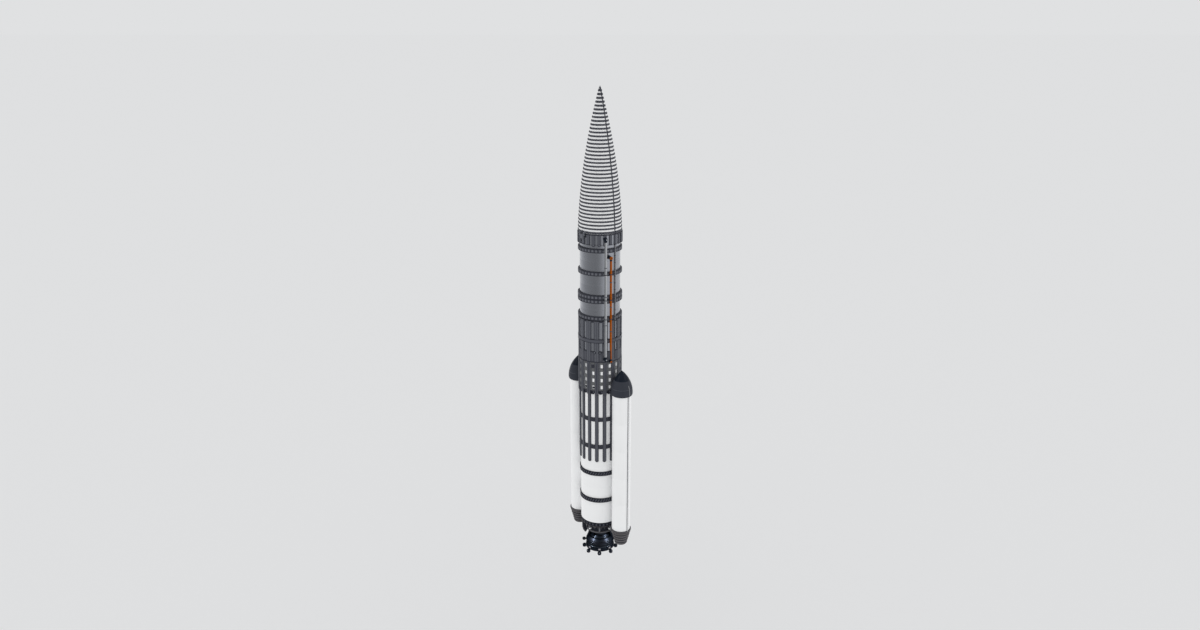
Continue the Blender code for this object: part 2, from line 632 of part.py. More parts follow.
def add_engine():
    """The stepped bell, open below, with two yoke arms up to the gimbal pins."""
    outside = ((0.55, BELL_TOP), (0.62, -1.02), (0.62, -1.20), (0.78, -1.24), (0.78, -1.40),
               (1.00, -1.46), (1.03, -1.60), (1.12, -1.66), (1.14, -1.84), (1.09, -1.90),
               (1.12, -1.96), (1.12, -2.10), (1.09, -2.14), (1.12, -2.20), (1.12, BELL_FOOT))
    inside = ((1.04, BELL_FOOT), (0.86, -1.85), (0.60, -1.50), (0.34, -1.30))
    profile = [(0.0, BELL_TOP), *outside, *inside, (0.0, BELL_ROOF)]
    bm = turned([(r, z - GIMBAL_Z) for r, z in profile])
    engine = add_object("engine_bell", bm, NAVY_METAL, 0.3, 0.7)
    engine.location.z = GIMBAL_Z
    thickness, width = YOKE_ARM
    arms = bmesh.new()
    for azimuth in (90.0, -90.0):
        radial_box(arms, azimuth, YOKE_OUTER - thickness, YOKE_OUTER, width, -1.30,
                   GIMBAL_Z + 0.09)
    combine(engine, add_cutter("yoke_arms", arms), "UNION")
    holes = bmesh.new()
    rod(holes, point_at(90.0, -1.0, GIMBAL_Z), point_at(90.0, 1.0, GIMBAL_Z), PIN_HOLE_R)
    combine(engine, add_cutter("yoke_pin_holes", holes), "DIFFERENCE")
    return engine


def add_exhaust_outlets(engine):
    """A round outlet on each side of the bell, under the foot of an exhaust duct."""
    for side, azimuth in DUCT_AZIMUTHS:
        bm = bmesh.new()
        place = point_at(azimuth, OUTLET_DISTANCE, OUTLET_Z - GIMBAL_Z)
        bmesh.ops.create_uvsphere(bm, u_segments=SMALL_SIDES, v_segments=8, radius=OUTLET_R,
                                  matrix=Matrix.Translation(place))
        outlet = add_object(f"exhaust_outlet_{side}", bm, NAVY_METAL, 0.35, 0.7)
        outlet.location.z = GIMBAL_Z
        outlet.parent = engine
        outlet.matrix_parent_inverse = Matrix.Translation((0.0, 0.0, -GIMBAL_Z))
        stub = bmesh.new()
        rod(stub, point_at(azimuth, OUTLET_WALL_R, OUTLET_Z),
            point_at(azimuth, OUTLET_DISTANCE, OUTLET_Z), OUTLET_R / 2)
        combine(outlet, add_cutter(f"exhaust_stub_{side}", stub), "UNION")


def add_vernier_ring(engine):
    """Eight small steering nozzles on stalks, round a ring at the foot of the bell."""
    inner, outer, height = VERNIER_RING
    top = BELL_FOOT - GAP
    bm = ring(inner, outer, top - height, top)
    bmesh.ops.translate(bm, verts=bm.verts, vec=(0.0, 0.0, -GIMBAL_Z))
    made = add_object("vernier_ring", bm, NAVY_METAL, 0.35, 0.7, smooth=False)
    made.parent = engine
    azimuths = [360.0 * index / VERNIER_COUNT for index in range(VERNIER_COUNT)]
    stalks = bmesh.new()
    for azimuth in azimuths:
        rod(stalks, point_at(azimuth, (inner + outer) / 2, top - height / 2),
            point_at(azimuth, VERNIER_RING_R, top - height / 2 - 0.02), STALK_R, 8)
    combine(made, add_cutter("vernier_stalks", stalks), "UNION")
    nozzles = bmesh.new()
    for azimuth in azimuths:
        add_vernier(nozzles, point_at(azimuth, VERNIER_RING_R, VERNIER_Z))
    combine(made, add_cutter("vernier_nozzles", nozzles), "UNION")


def add_vernier(bm, middle):
    """One round nozzle, open below."""
    profile = ((0.0, 0.13), (0.12, 0.08), (0.15, -0.04), (0.13, -0.13), (0.10, -0.13),
               (0.06, 0.02), (0.0, 0.02))
    one = bmesh.new()
    spin_profile(one, profile, 8, False)
    bmesh.ops.translate(one, verts=one.verts, vec=middle)
    bmesh.ops.recalc_face_normals(one, faces=one.faces)
    copy = bpy.data.meshes.new("vernier")
    one.to_mesh(copy)
    one.free()
    bm.from_mesh(copy)
    bpy.data.meshes.remove(copy)


def main():
    clear_scene()
    add_core_tank()
    add_core_hoops()
    add_strip_cage()
    add_lattice_section()
    add_stringer_section()
    add_upper_tank()
    add_tank_rings()
    add_cable_raceway()
    add_fairing_collar()
    add_fairing_hinges()
    add_fairing_half("left", 1.0)
    add_fairing_half("right", -1.0)
    add_payload_adapter()
    add_pipes()
    add_umbilical_plate()
    add_boosters()
    add_aft_ring()
    add_thrust_frame()
    add_exhaust_ducts()
    add_gimbal_ring()
    engine = add_engine()
    add_exhaust_outlets(engine)
    add_vernier_ring(engine)


main()
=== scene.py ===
"""Looks of the space rocket: finer pieces, finishes, light and camera round the fixed frame.

Metres, +Z up. Azimuths are degrees from +X, anticlockwise seen from above. A piece that
replaces a node takes its heights and radius from that node's box. An outline is a list of
(radius, height) points, unless a comment says otherwise.
"""

import itertools
import math

import bmesh
import bpy
from mathutils import Matrix, Vector


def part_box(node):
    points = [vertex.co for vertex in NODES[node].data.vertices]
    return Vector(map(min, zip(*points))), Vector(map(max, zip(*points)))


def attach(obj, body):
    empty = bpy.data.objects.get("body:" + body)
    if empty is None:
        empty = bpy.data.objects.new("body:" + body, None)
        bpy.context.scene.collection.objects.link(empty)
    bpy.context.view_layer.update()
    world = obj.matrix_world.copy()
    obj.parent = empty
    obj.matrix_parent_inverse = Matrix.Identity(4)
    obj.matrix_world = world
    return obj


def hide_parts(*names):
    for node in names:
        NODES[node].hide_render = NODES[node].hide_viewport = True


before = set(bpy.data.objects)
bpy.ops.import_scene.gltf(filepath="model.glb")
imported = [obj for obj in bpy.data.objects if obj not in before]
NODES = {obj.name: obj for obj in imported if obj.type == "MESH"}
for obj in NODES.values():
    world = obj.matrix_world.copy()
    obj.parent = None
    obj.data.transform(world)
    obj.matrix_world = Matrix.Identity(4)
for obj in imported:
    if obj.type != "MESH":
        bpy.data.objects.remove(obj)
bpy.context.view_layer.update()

# Camera, from the perspective of the photo's rings and edges
PHOTO_WIDTH_PX = 1200
FOCAL_PX = 960.0
SENSOR_MM = 36.0
CAMERA_AIM = Vector((0.0, 0.0, 17.5))
CAMERA_DISTANCE = 73.35
CAMERA_TURN_DEG = 47.0       # 0 looks along +Y
CAMERA_ELEVATION_DEG = 17.70
FRONT_AZIMUTH = CAMERA_TURN_DEG - 90.0

FLOOR_Z = -12.0
FLOOR_REACH = 3000.0

AXIS_R = 0.001               # where an outline meets the axis
MOVING_GAP = 0.005
SKIN = 0.002                 # how far a trim piece is sunk into what carries it
SHARP_DEG = 32.0


# Points and shapes


def heights(node):
    low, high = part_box(node)
    return low.z, high.z


def radius_of(node):
    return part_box(node)[1].y


def trim_radius(node):
    """Outer radius of a round node without its bolts."""
    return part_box(node)[1].x - 0.006


def point_at(azimuth, radius, z, offset=0.0):
    return Matrix.Rotation(math.radians(azimuth), 4, "Z") @ Vector((radius, offset, z))


def around(count, start=0.0):
    """Even azimuths round the whole circle."""
    return [start + 360.0 * index / count for index in range(count)]


def steps(low, high, count):
    """Both ends and the even places between them."""
    return [low + (high - low) * index / count for index in range(count + 1)]


def middles(low, high, count):
    return [low + (high - low) * (index + 0.5) / count for index in range(count)]


def each(value):
    return value if isinstance(value, (list, tuple)) else [value]


def arc(sides, start=0.0, sweep=math.tau):
    """(cosine, sine) pairs round a circle, or round a part of it with both its ends."""
    count = sides if sweep == math.tau else sides + 1
    return [(math.cos(a), math.sin(a))
            for a in (start + sweep * index / sides for index in range(count))]


STRIP_COUNT = 16
STRIP_AZIMUTHS = around(STRIP_COUNT, -7.3)
PANEL_AZIMUTHS = around(STRIP_COUNT, -7.3 + 180.0 / STRIP_COUNT)
STRIP_WIDTH = 0.29


def rounded(points, radius, count=3, closed=False):
    """The same outline with each corner replaced by a small curve."""
    made = []
    for index, point in enumerate(points):
        if not closed and index in (0, len(points) - 1):
            made.append(tuple(point))
            continue
        here = Vector(point)
        before = Vector(points[index - 1]) - here
        after = Vector(points[(index + 1) % len(points)]) - here
        reach = min(radius, before.length * 0.45, after.length * 0.45)
        start = here + before.normalized() * reach
        end = here + after.normalized() * reach
        for share in steps(0.0, 1.0, count):
            made.append(tuple(start * (1 - share) ** 2 + here * 2 * share * (1 - share)
                              + end * share ** 2))
    return made


class Shape:
    """Points and faces of one piece, round the upright line at x = centre.

    Each face has the number of its finish in the list that build is given. Where a method
    takes an azimuth, an offset or a bolt's z, a list of them makes one solid for each.
    """

    def __init__(self, centre=0.0):
        self.centre = Vector((centre, 0.0, 0.0))
        self.points, self.faces, self.finishes = [], [], []

    def sweep(self, loops, finish=0, ring=False):
        """Joins loops of points one after another. A ring also joins the last to the first."""
        size, rows, start = len(loops[0]), len(loops), len(self.points)
        self.points += [tuple(point) for loop in loops for point in loop]
        faces = []
        for row in range(rows if ring else rows - 1):
            here, there = row * size, (row + 1) % rows * size
            for index in range(size):
                after = (index + 1) % size
                faces.append((here + index, here + after, there + after, there + index))
        if not ring:
            faces += [range(size - 1, -1, -1), range((rows - 1) * size, rows * size)]
        self.faces += [tuple(start + index for index in face) for face in faces]
        self.finishes += [finish] * len(faces)

    def turn(self, outline, sides=96, finish=0, start=0.0, sweep=360.0):
        """Turns an outline round the centre line."""
        whole = sweep == 360.0
        self.sweep([[point_at(start + sweep * index / sides, r, z) + self.centre
                     for r, z in outline] for index in range(sides if whole else sides + 1)],
                   finish, whole)

    def band(self, inner, outer, foot, top, sides=128, finish=0, edge=0.0):
        """A ring of rectangular section, with its edges rounded."""
        section = ((inner, foot), (outer, foot), (outer, top), (inner, top))
        self.turn(rounded(section, edge, closed=True) if edge else section, sides, finish)

    def loft(self, azimuth, sections, finish=0):
        """Joins sections of (radius, offset, height) points."""
        for turn in each(azimuth):
            self.sweep([[point_at(turn, r, z, y) + self.centre for r, y, z in section]
                        for section in sections], finish)

    def block(self, azimuth, inner, outer, width, foot, top, finish=0, offset=0.0,
              chamfer=0.008):
        """A box that points away from the axis, with chamfered outer edges."""
        half = width / 2
        cut = min(chamfer, half * 0.4, (outer - inner) * 0.4, (top - foot) * 0.4)
        ends = ((inner, half, foot, top), (outer - cut, half, foot, top),
                (outer, half - cut, foot + cut, top - cut))
        for y in each(offset):
            self.loft(azimuth, [[(r, y - side, low), (r, y + side, low), (r, y + side, high),
                                 (r, y - side, high)] for r, side, low, high in ends], finish)

    def prism(self, azimuth, outline, foot, top, finish=0, slope=0.0):
        """A (radius, offset) outline run straight up. Its ends slope back from the outer side."""
        low = min(r for r, _ in outline)
        self.loft(azimuth, [[(r, y, z + lean * (r - low)) for r, y in outline]
                            for z, lean in ((foot, slope), (top, -slope))], finish)

    def slab(self, azimuth, outline, width, finish=0):
        """An outline given a width across."""
        self.loft(azimuth, [[(r, y, z) for r, z in outline] for y in (-width / 2, width / 2)],
                  finish)

    def plate(self, azimuth, outline, inner, outer, finish=0):
        """An (offset, height) outline run away from the axis."""
        self.loft(azimuth, [[(r, y, z) for y, z in outline] for r in (inner, outer)], finish)

    def bolt(self, azimuth, radius, z, size, height=0.01, finish=0, offset=0.0, sides=6):
        """A bolt head or a round boss whose axis points away from the rocket's axis."""
        ends = ((radius - SKIN, size), (radius + height * 0.7, size),
                (radius + height, size * 0.8))
        for middle, y in itertools.product(each(z), each(offset)):
            self.loft(azimuth, [[(r, y + reach * c, middle + reach * s) for c, s in arc(sides)]
                                for r, reach in ends], finish)

    def tube(self, path, radius, sides=24, finish=0):
        """A round bar through the points of a path. The radius may be a list, one a point."""
        points = [Vector(point) for point in path]
        radii = radius if isinstance(radius, list) else [radius] * len(points)
        loops = []
        side = (points[1] - points[0]).orthogonal()
        for index, (point, size) in enumerate(zip(points, radii)):
            before, after = points[max(index - 1, 0)], points[min(index + 1, len(points) - 1)]
            along = (after - before).normalized()
            side = (side - along * side.dot(along)).normalized()
            across = along.cross(side)
            loops.append([point + (side * c + across * s) * size for c, s in arc(sides)])
        self.sweep(loops, finish)

    def rod(self, azimuth, profile, sides=24, finish=0):
        """A round bar through (radius, height, thickness) points."""
        for turn in each(azimuth):
            self.tube([point_at(turn, r, z) for r, z, _ in profile], [s for *_, s in profile],
                      sides, finish)

    def knob(self, azimuth, z, profile, sides=24, finish=0):
        """A level round bar of (radius, thickness) points that points away from the axis."""
        self.rod(azimuth, [(r, z, size) for r, size in profile], sides, finish)

    def upright(self, middle, outline, finish=0):
        """Turns an outline round the upright line through a point."""
        self.sweep([[middle + Vector((r * c, r * s, z)) for r, z in outline]
                    for c, s in arc(32)], finish, ring=True)


def build(shape, name, finishes, replaced=None, body="rocket"):
    """Makes the piece, with outward faces, and lets it ride on its body."""
    mesh = bpy.data.meshes.new(name)
    mesh.from_pydata(shape.points, [], shape.faces)
    mesh.polygons.foreach_set("material_index", shape.finishes)
    bm = bmesh.new()
    bm.from_mesh(mesh)
    bmesh.ops.recalc_face_normals(bm, faces=bm.faces)
    bm.to_mesh(mesh)
    bm.free()
    for finish in finishes.split():
        mesh.materials.append(FINISH[finish])
    piece = bpy.data.objects.new(name, mesh)
    mark_edges(mesh)
    bpy.context.scene.collection.objects.link(piece)
    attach(piece, body)
    if replaced:
        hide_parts(replaced)
    return piece


def mark_edges(mesh):
    mesh.shade_smooth()
    mesh.set_sharp_from_angle(angle=math.radians(SHARP_DEG))


# Finishes


class Nodes:
    """A node tree with short ways to add to it."""

    def __init__(self, tree):
        self.tree = tree

    def node(self, kind, **settings):
        made = self.tree.nodes.new(kind)
        for key, value in settings.items():
            setattr(made, key, value)
        return made

    def put(self, value, socket):
        """Links another node's output to a socket, or sets the socket to a value."""
        if hasattr(value, "links"):
            self.tree.links.new(value, socket)
        else:
            socket.default_value = value

    def fill(self, node, *values):
        for value, socket in zip(values, node.inputs):
            self.put(value, socket)

    def math(self, operation, first, second=0.0):
        made = self.node("ShaderNodeMath", operation=operation)
        self.fill(made, first, second)
        return made.outputs[0]

    def spread(self, value, low, high, to_low=0.0, to_high=1.0, curve="LINEAR"):
        made = self.node("ShaderNodeMapRange", interpolation_type=curve)
        self.fill(made, value, low, high, to_low, to_high)
        return made.outputs[0]


class Surface(Nodes):
    """A Principled material built from procedural nodes in the object's own coordinates."""

    def __init__(self, name, roughness, metallic=0.0, centre=0.0):
        self.material = bpy.data.materials.new(name)
        self.material.use_nodes = True
        super().__init__(self.material.node_tree)
        self.sockets = self.tree.nodes["Principled BSDF"].inputs
        self.sockets["Roughness"].default_value = roughness
        self.sockets["Metallic"].default_value = metallic
        shift = self.node("ShaderNodeVectorMath", operation="SUBTRACT")
        self.fill(shift, self.node("ShaderNodeTexCoord").outputs["Object"], (centre, 0.0, 0.0))
        self.place = shift.outputs["Vector"]
        split = self.node("ShaderNodeSeparateXYZ")
        self.fill(split, self.place)
        self.height = split.outputs["Z"]
        self.azimuth = self.math("ARCTAN2", split.outputs["Y"], split.outputs["X"])
        self.normal = None

    def unrolled(self, radius, across, upward):
        """(arc length, height) coordinates, each stretched by its factor."""
        made = self.node("ShaderNodeCombineXYZ")
        self.fill(made, self.math("MULTIPLY", self.azimuth, radius * across),
                  self.math("MULTIPLY", self.height, upward))
        return made.outputs[0]

    def noise(self, scale, detail=4.0, vector=None, rough=0.55):
        made = self.node("ShaderNodeTexNoise")
        self.put(vector or self.place, made.inputs["Vector"])
        for socket, value in (("Scale", scale), ("Detail", detail), ("Roughness", rough)):
            made.inputs[socket].default_value = value
        return made.outputs["Fac"]

    def paint(self, colour):
        self.colour = (*colour, 1.0)

    def mix(self, amount, colour):
        """Covers the colour so far with another, by an amount from 0 to 1."""
        made = self.node("ShaderNodeMix", data_type="RGBA")
        self.put(amount, made.inputs[0])
        self.put(self.colour, made.inputs[6])
        made.inputs[7].default_value = (*colour, 1.0)
        self.colour = made.outputs[2]

    def cloud(self, scale, detail, most, colour):
        """Covers the colour in soft patches of noise."""
        self.mix(self.spread(self.noise(scale, detail), 0.3, 0.7, 0.0, most), colour)

    def bump(self, height, strength, distance=0.01):
        made = self.node("ShaderNodeBump")
        made.inputs["Strength"].default_value = strength
        made.inputs["Distance"].default_value = distance
        self.put(height, made.inputs["Height"])
        if self.normal is not None:
            self.put(self.normal, made.inputs["Normal"])
        self.normal = made.outputs["Normal"]

    def lines(self, value, pitch, width):
        """1 on thin lines at every pitch, else 0."""
        return self.spread(self.math("PINGPONG", value, pitch / 2), width * 0.5, width, 1.0, 0.0)

    def vary_roughness(self, value, low, high):
        self.put(self.spread(value, 0.3, 0.7, low, high), self.sockets["Roughness"])

    def done(self):
        self.put(self.colour, self.sockets["Base Color"])
        if self.normal is not None:
            self.put(self.normal, self.sockets["Normal"])
        return self.material


def scaled(colour, factor):
    return tuple(min(1.0, part * factor) for part in colour)


def painted(name, colour, roughness=0.42, tone=0.10, runs=0.10, shine=0.16, centre=0.0,
            radius=1.5, chips=None, metallic=0.0):
    """Satin paint: slow changes of tone, faint vertical runs and orange peel."""
    made = Surface(name, roughness, metallic, centre)
    made.sockets["Specular IOR Level"].default_value = shine
    made.paint(colour)
    made.mix(made.spread(made.noise(0.7, 5.0), 0.35, 0.7, 0.0, tone * 4),
             scaled(colour, 1.0 - tone))
    streak = made.noise(3.0, 4.0, made.unrolled(radius, 2.2, 0.10))
    made.mix(made.spread(streak, 0.52, 0.78, 0.0, runs * 4), scaled(colour, 0.80))
    made.bump(made.noise(38.0, 3.0), 0.10, 0.004)
    if chips:
        made.mix(made.spread(made.noise(9.0, 8.0, rough=0.7), 0.66, 0.70, 0.0, 0.8), chips)
    made.vary_roughness(made.noise(5.0, 6.0), roughness - 0.07, roughness + 0.09)
    return made.done()


def bare_metal(name, colour, roughness, radius=1.5, edge=1.0, brushed=True, tint=None,
               seams=None):
    """Brushed metal: fine lines round the tube, cloudy roughness and a slight heat tint."""
    made = Surface(name, roughness, 1.0)
    made.sockets["Specular Tint"].default_value = (edge, edge, edge, 1.0)
    made.paint(colour)
    made.mix(made.spread(made.noise(1.1, 6.0), 0.35, 0.7, 0.0, 0.4), scaled(colour, 0.88))
    if tint:
        bands = made.noise(2.2, 3.0, made.unrolled(radius, 0.25, 1.6))
        made.mix(made.spread(bands, 0.45, 0.75, 0.0, 0.6), tint)
    if brushed:
        brush = made.noise(9.0, 6.0, made.unrolled(radius, 0.35, 22.0), rough=0.75)
        made.mix(made.spread(brush, 0.4, 0.7, 0.0, 0.16), scaled(colour, 1.18))
        made.bump(brush, 0.03, 0.002)
    else:
        made.bump(made.noise(55.0, 5.0, rough=0.7), 0.18, 0.004)
    if seams:
        first, pitch, arc_length, width = seams
        both = made.math("MAXIMUM",
                         made.lines(made.math("SUBTRACT", made.height, first), pitch, width),
                         made.lines(made.math("MULTIPLY", made.azimuth, radius), arc_length,
                                    width))
        made.mix(made.math("MULTIPLY", both, 0.5), scaled(colour, 0.6))
        made.bump(both, 0.4, 0.006)
    made.vary_roughness(made.noise(2.5, 6.0), roughness - 0.05, roughness + 0.06)
    return made.done()


def perforated(name, colour, radius=1.6, pitch=0.058):
    """A plate with rows of dark round holes, like a ladder strip."""
    made = Surface(name, 0.55, 0.3)
    made.sockets["Specular IOR Level"].default_value = 0.16
    made.paint(colour)
    across = made.math("PINGPONG", made.math("MULTIPLY", made.azimuth, radius), pitch / 2)
    upward = made.math("PINGPONG", made.height, pitch / 2)
    away = made.math("SQRT", made.math("ADD", made.math("POWER", across, 2.0),
                                       made.math("POWER", upward, 2.0)))
    hole = made.spread(away, pitch * 0.26, pitch * 0.34, 1.0, 0.0)
    made.cloud(2.0, 4.0, 0.5, scaled(colour, 0.75))
    made.mix(hole, scaled(colour, 0.22))
    made.bump(made.math("SUBTRACT", 1.0, hole), 0.8, 0.012)
    return made.done()


def quilted(name, colour):
    """Padded blanket with a diamond of stitched lines, inside the fairing."""
    made = Surface(name, 0.75)
    made.paint(colour)
    along = made.math("MULTIPLY", made.azimuth, 1.5)
    stitch = made.math("MAXIMUM", *(made.lines(made.math(way, along, made.height), 0.42, 0.014)
                                    for way in ("ADD", "SUBTRACT")))
    made.cloud(1.4, 4.0, 0.5, scaled(colour, 0.88))
    made.mix(made.math("MULTIPLY", stitch, 0.7), scaled(colour, 0.6))
    made.bump(made.math("SUBTRACT", 1.0, stitch), 0.9, 0.02)
    return made.done()


BOOSTER_X, BOOSTER_R = 2.44, 0.73
WHITE = {"colour": (0.88, 0.885, 0.89), "tone": 0.02, "runs": 0.03, "shine": 0.3}

FINISH = {
    "white": painted("white_paint", roughness=0.40, **WHITE),
    "white_left": painted("white_paint_left", roughness=0.40, centre=-BOOSTER_X,
                          radius=BOOSTER_R, **WHITE),
    "white_right": painted("white_paint_right", roughness=0.40, centre=BOOSTER_X,
                           radius=BOOSTER_R, **WHITE),
    "fairing": painted("fairing_white", **WHITE),
    "slate": painted("slate_paint", (0.083, 0.087, 0.104), 0.48, 0.12, 0.12),
    "slate_light": painted("light_slate_paint", (0.130, 0.136, 0.155), 0.45),
    "charcoal": painted("charcoal_paint", (0.034, 0.036, 0.048), 0.55, 0.12, 0.05),
    "ink": painted("ink_paint", (0.012, 0.014, 0.022), 0.60, 0.12, 0.05, 0.10),
    "cap": painted("cap_grey_paint", (0.038, 0.042, 0.054), 0.55, 0.14, 0.15, 0.12),
    "navy": painted("navy_paint", (0.0065, 0.0105, 0.0190), 0.35, 0.15, 0.10, 0.10),
    "brown": painted("frame_paint", (0.072, 0.067, 0.071), 0.52, 0.20,
                     chips=(0.13, 0.12, 0.12)),
    "brown_light": painted("bracket_paint", (0.15, 0.142, 0.152), 0.50, 0.15),
    "skirt": painted("skirt_paint", (0.128, 0.122, 0.127), 0.52, 0.20),
    "cable": painted("cable_cover_grey", (0.20, 0.205, 0.22), 0.50),
    "window_grey": painted("window_shade", (0.33, 0.335, 0.34), 0.60),
    "window_pale": painted("window_pale_grey", (0.52, 0.525, 0.53), 0.60),
    "orange_pipe": painted("orange_paint", (0.34, 0.080, 0.004), 0.40, 0.14, 0.12, 0.08,
                           metallic=0.6),
    "grey_pipe": bare_metal("grey_pipe_metal", (0.36, 0.37, 0.385), 0.30, 1.84),
    "tube": bare_metal("tank_metal", (0.272, 0.283, 0.310), 0.27,
                       seams=(0.35, 1.62, 2.395, 0.008)),
    "steel": bare_metal("bright_steel", (0.48, 0.49, 0.50), 0.25, brushed=False),
    "engine": bare_metal("engine_metal", (0.011, 0.0145, 0.021), 0.30, 1.1, 0.25,
                         tint=(0.018, 0.015, 0.019)),
    "engine_rings": bare_metal("engine_ring_metal", (0.044, 0.053, 0.065), 0.26, 1.1, 0.4),
    "engine_polish": bare_metal("engine_polished_metal", (0.075, 0.090, 0.105), 0.16, 1.1, 0.4),
    "ladder": perforated("perforated_plate", (0.20, 0.205, 0.21)),
    "blanket": quilted("fairing_blanket", (0.55, 0.55, 0.54)),
}


def carry_over():
    """Finishes of the CAD nodes that show as they are."""
    kept = {"payload_adapter": "tube", "fairing_hinge_left": "slate_light",
            "fairing_hinge_right": "slate_light", "umbilical_plate": "charcoal"}
    for side in ("left", "right"):
        for place in ("forward", "aft"):
            kept[f"booster_{side}_{place}_strut"] = "slate"
    for name, finish in kept.items():
        node = NODES[name]
        if not node.material_slots:
            node.data.materials.append(None)
        for holder in node.material_slots:
            holder.material = FINISH[finish]


# Core


def grooved(radius, foot, top, joints, depth=0.005, width=0.02):
    """Outline of a closed tube, upwards, with a small groove at each joint."""
    points = [(AXIS_R, foot), (radius - 0.01, foot), (radius, foot + 0.01)]
    for z in joints:
        points += [(radius, z - width), (radius - depth, z), (radius, z + width)]
    return points + [(radius, top - 0.01), (radius - 0.01, top), (AXIS_R, top)]


def core_tank():
    foot, top = heights("core_tank")
    joints = (foot + 0.10, foot + 1.78, 3.60, 5.45)
    shape = Shape()
    shape.turn(grooved(radius_of("core_tank"), foot, top, joints), 160)
    build(shape, "core_skin", "white", "core_tank")


def core_hoop(node):
    """A hoop of slanted bars between two rims."""
    foot, top = heights(node)
    inner, outer = radius_of("core_tank") - SKIN, radius_of(node)
    rim = 0.045
    lean, half = 3.0, 1.9        # degrees that a bar leans to either side, and half its width
    shape = Shape()
    shape.band(inner, outer - 0.030, foot, top, edge=0.008)
    for low, high in ((foot, foot + rim), (top - rim, top)):
        shape.band(inner, outer, low, high, edge=0.012)
    for azimuth in around(46):
        shape.sweep([[point_at(azimuth + turn + side, r, z)
                      for r, side in ((outer - 0.035, -half), (outer - 0.035, half),
                                      (outer - 0.006, half * 0.7), (outer - 0.006, -half * 0.7))]
                     for z, turn in ((foot + 0.02, -lean), (top - 0.02, lean))], 1)
    build(shape, node + "_truss", "ink slate", node)


def hat(inner, outer, width, crown=0.72, flange=0.028, cut=0.016):
    """Section of a strip: two thin flanges and a raised crown, as (radius, offset) points."""
    edge, rise = width / 2, width * crown / 2
    return [(inner, -edge), (inner, edge), (inner + flange, edge), (inner + flange, rise),
            (outer - cut, rise), (outer, rise - cut), (outer, cut - rise), (outer - cut, -rise),
            (inner + flange, -rise), (inner + flange, -edge)]


def strip_cage():
    foot, top = heights("strip_cage")
    inner, outer = radius_of("core_tank") - SKIN, trim_radius("strip_cage")
    face = 1.600                 # of the two hoops
    low = foot + 0.2
    rows = round((top - low) / 0.34)
    shape = Shape()
    shape.prism(STRIP_AZIMUTHS, hat(inner, outer, STRIP_WIDTH), foot + 0.05, top, 0, 0.5)
    shape.bolt(STRIP_AZIMUTHS, inner + 0.028, middles(low, top, rows), 0.013, 0.012, 1,
               [-STRIP_WIDTH * 0.43, STRIP_WIDTH * 0.43])
    end = [(inner, -0.10), (inner, 0.10), (outer - 0.01, 0.07), (outer - 0.01, -0.07)]
    shape.prism(STRIP_AZIMUTHS, end, foot, foot + 0.10, 2, 0.3)
    for low, high in ((6.99, 7.33), (9.31, 9.64)):
        middle = (low + high) / 2
        shape.turn([(inner, low), (face - 0.015, low), (face, low + 0.02), (face, high - 0.02),
                    (face - 0.015, high), (inner, high)], 128, 2)
        shape.band(inner, face + 0.009, middle - 0.03, middle + 0.03, finish=3)
        shape.bolt(PANEL_AZIMUTHS, face, [low + 0.075, high - 0.075], 0.022, 0.014, 1,
                   [-0.10, 0.10])
    build(shape, "strip_cage_bars", "slate slate_light charcoal cap",
          "strip_cage")


LATTICE_FACE = 1.650
LATTICE_ROWS = (12.20, 12.77, 13.34, 13.91)
WINDOW_HEIGHT = 0.31
PANEL_LEFT, PANEL_RIGHT = -0.185, 0.185
OPEN_LEFT, OPEN_RIGHT = -0.080, 0.160


def lattice():
    """Windows between the strips: white core behind, a perforated plate round each opening."""
    foot, top = heights("lattice_section")
    inner, outer = radius_of("core_tank") + 0.004, trim_radius("lattice_section")
    start = foot + 0.33
    middle, width = (OPEN_LEFT + OPEN_RIGHT) / 2, OPEN_RIGHT - OPEN_LEFT
    sills = [z + side * WINDOW_HEIGHT / 2 for z in LATTICE_ROWS for side in (-1, 1)]
    shape = Shape()
    shape.prism(STRIP_AZIMUTHS, hat(1.53, outer, STRIP_WIDTH, 0.86, 0.085), foot, top)
    shape.block(STRIP_AZIMUTHS, outer - 0.01, outer + 0.004, 0.05, foot + 0.1, top - 0.1, 4)
    for low, high in ((PANEL_LEFT, OPEN_LEFT), (OPEN_RIGHT, PANEL_RIGHT)):
        shape.block(PANEL_AZIMUTHS, inner, LATTICE_FACE, high - low, start, top, 1,
                    (low + high) / 2)
    for low, high in zip([start, *sills[1::2]], [*sills[::2], top]):
        shape.block(PANEL_AZIMUTHS, inner, LATTICE_FACE, width + 0.004, low, high, 1, middle)
    for sill in sills:
        shape.block(PANEL_AZIMUTHS, inner, LATTICE_FACE + 0.014, width + 0.03, sill - 0.014,
                    sill + 0.014, 2, middle)
    for azimuth, (row, z) in itertools.product(PANEL_AZIMUTHS, enumerate(LATTICE_ROWS)):
        window(shape, azimuth, row, z, inner, middle, width)
    ladder(shape, start, top)
    scallop(shape, foot)
    build(shape, "lattice_wall",
          "slate ladder slate_light ink charcoal white window_grey window_pale",
          "lattice_section")


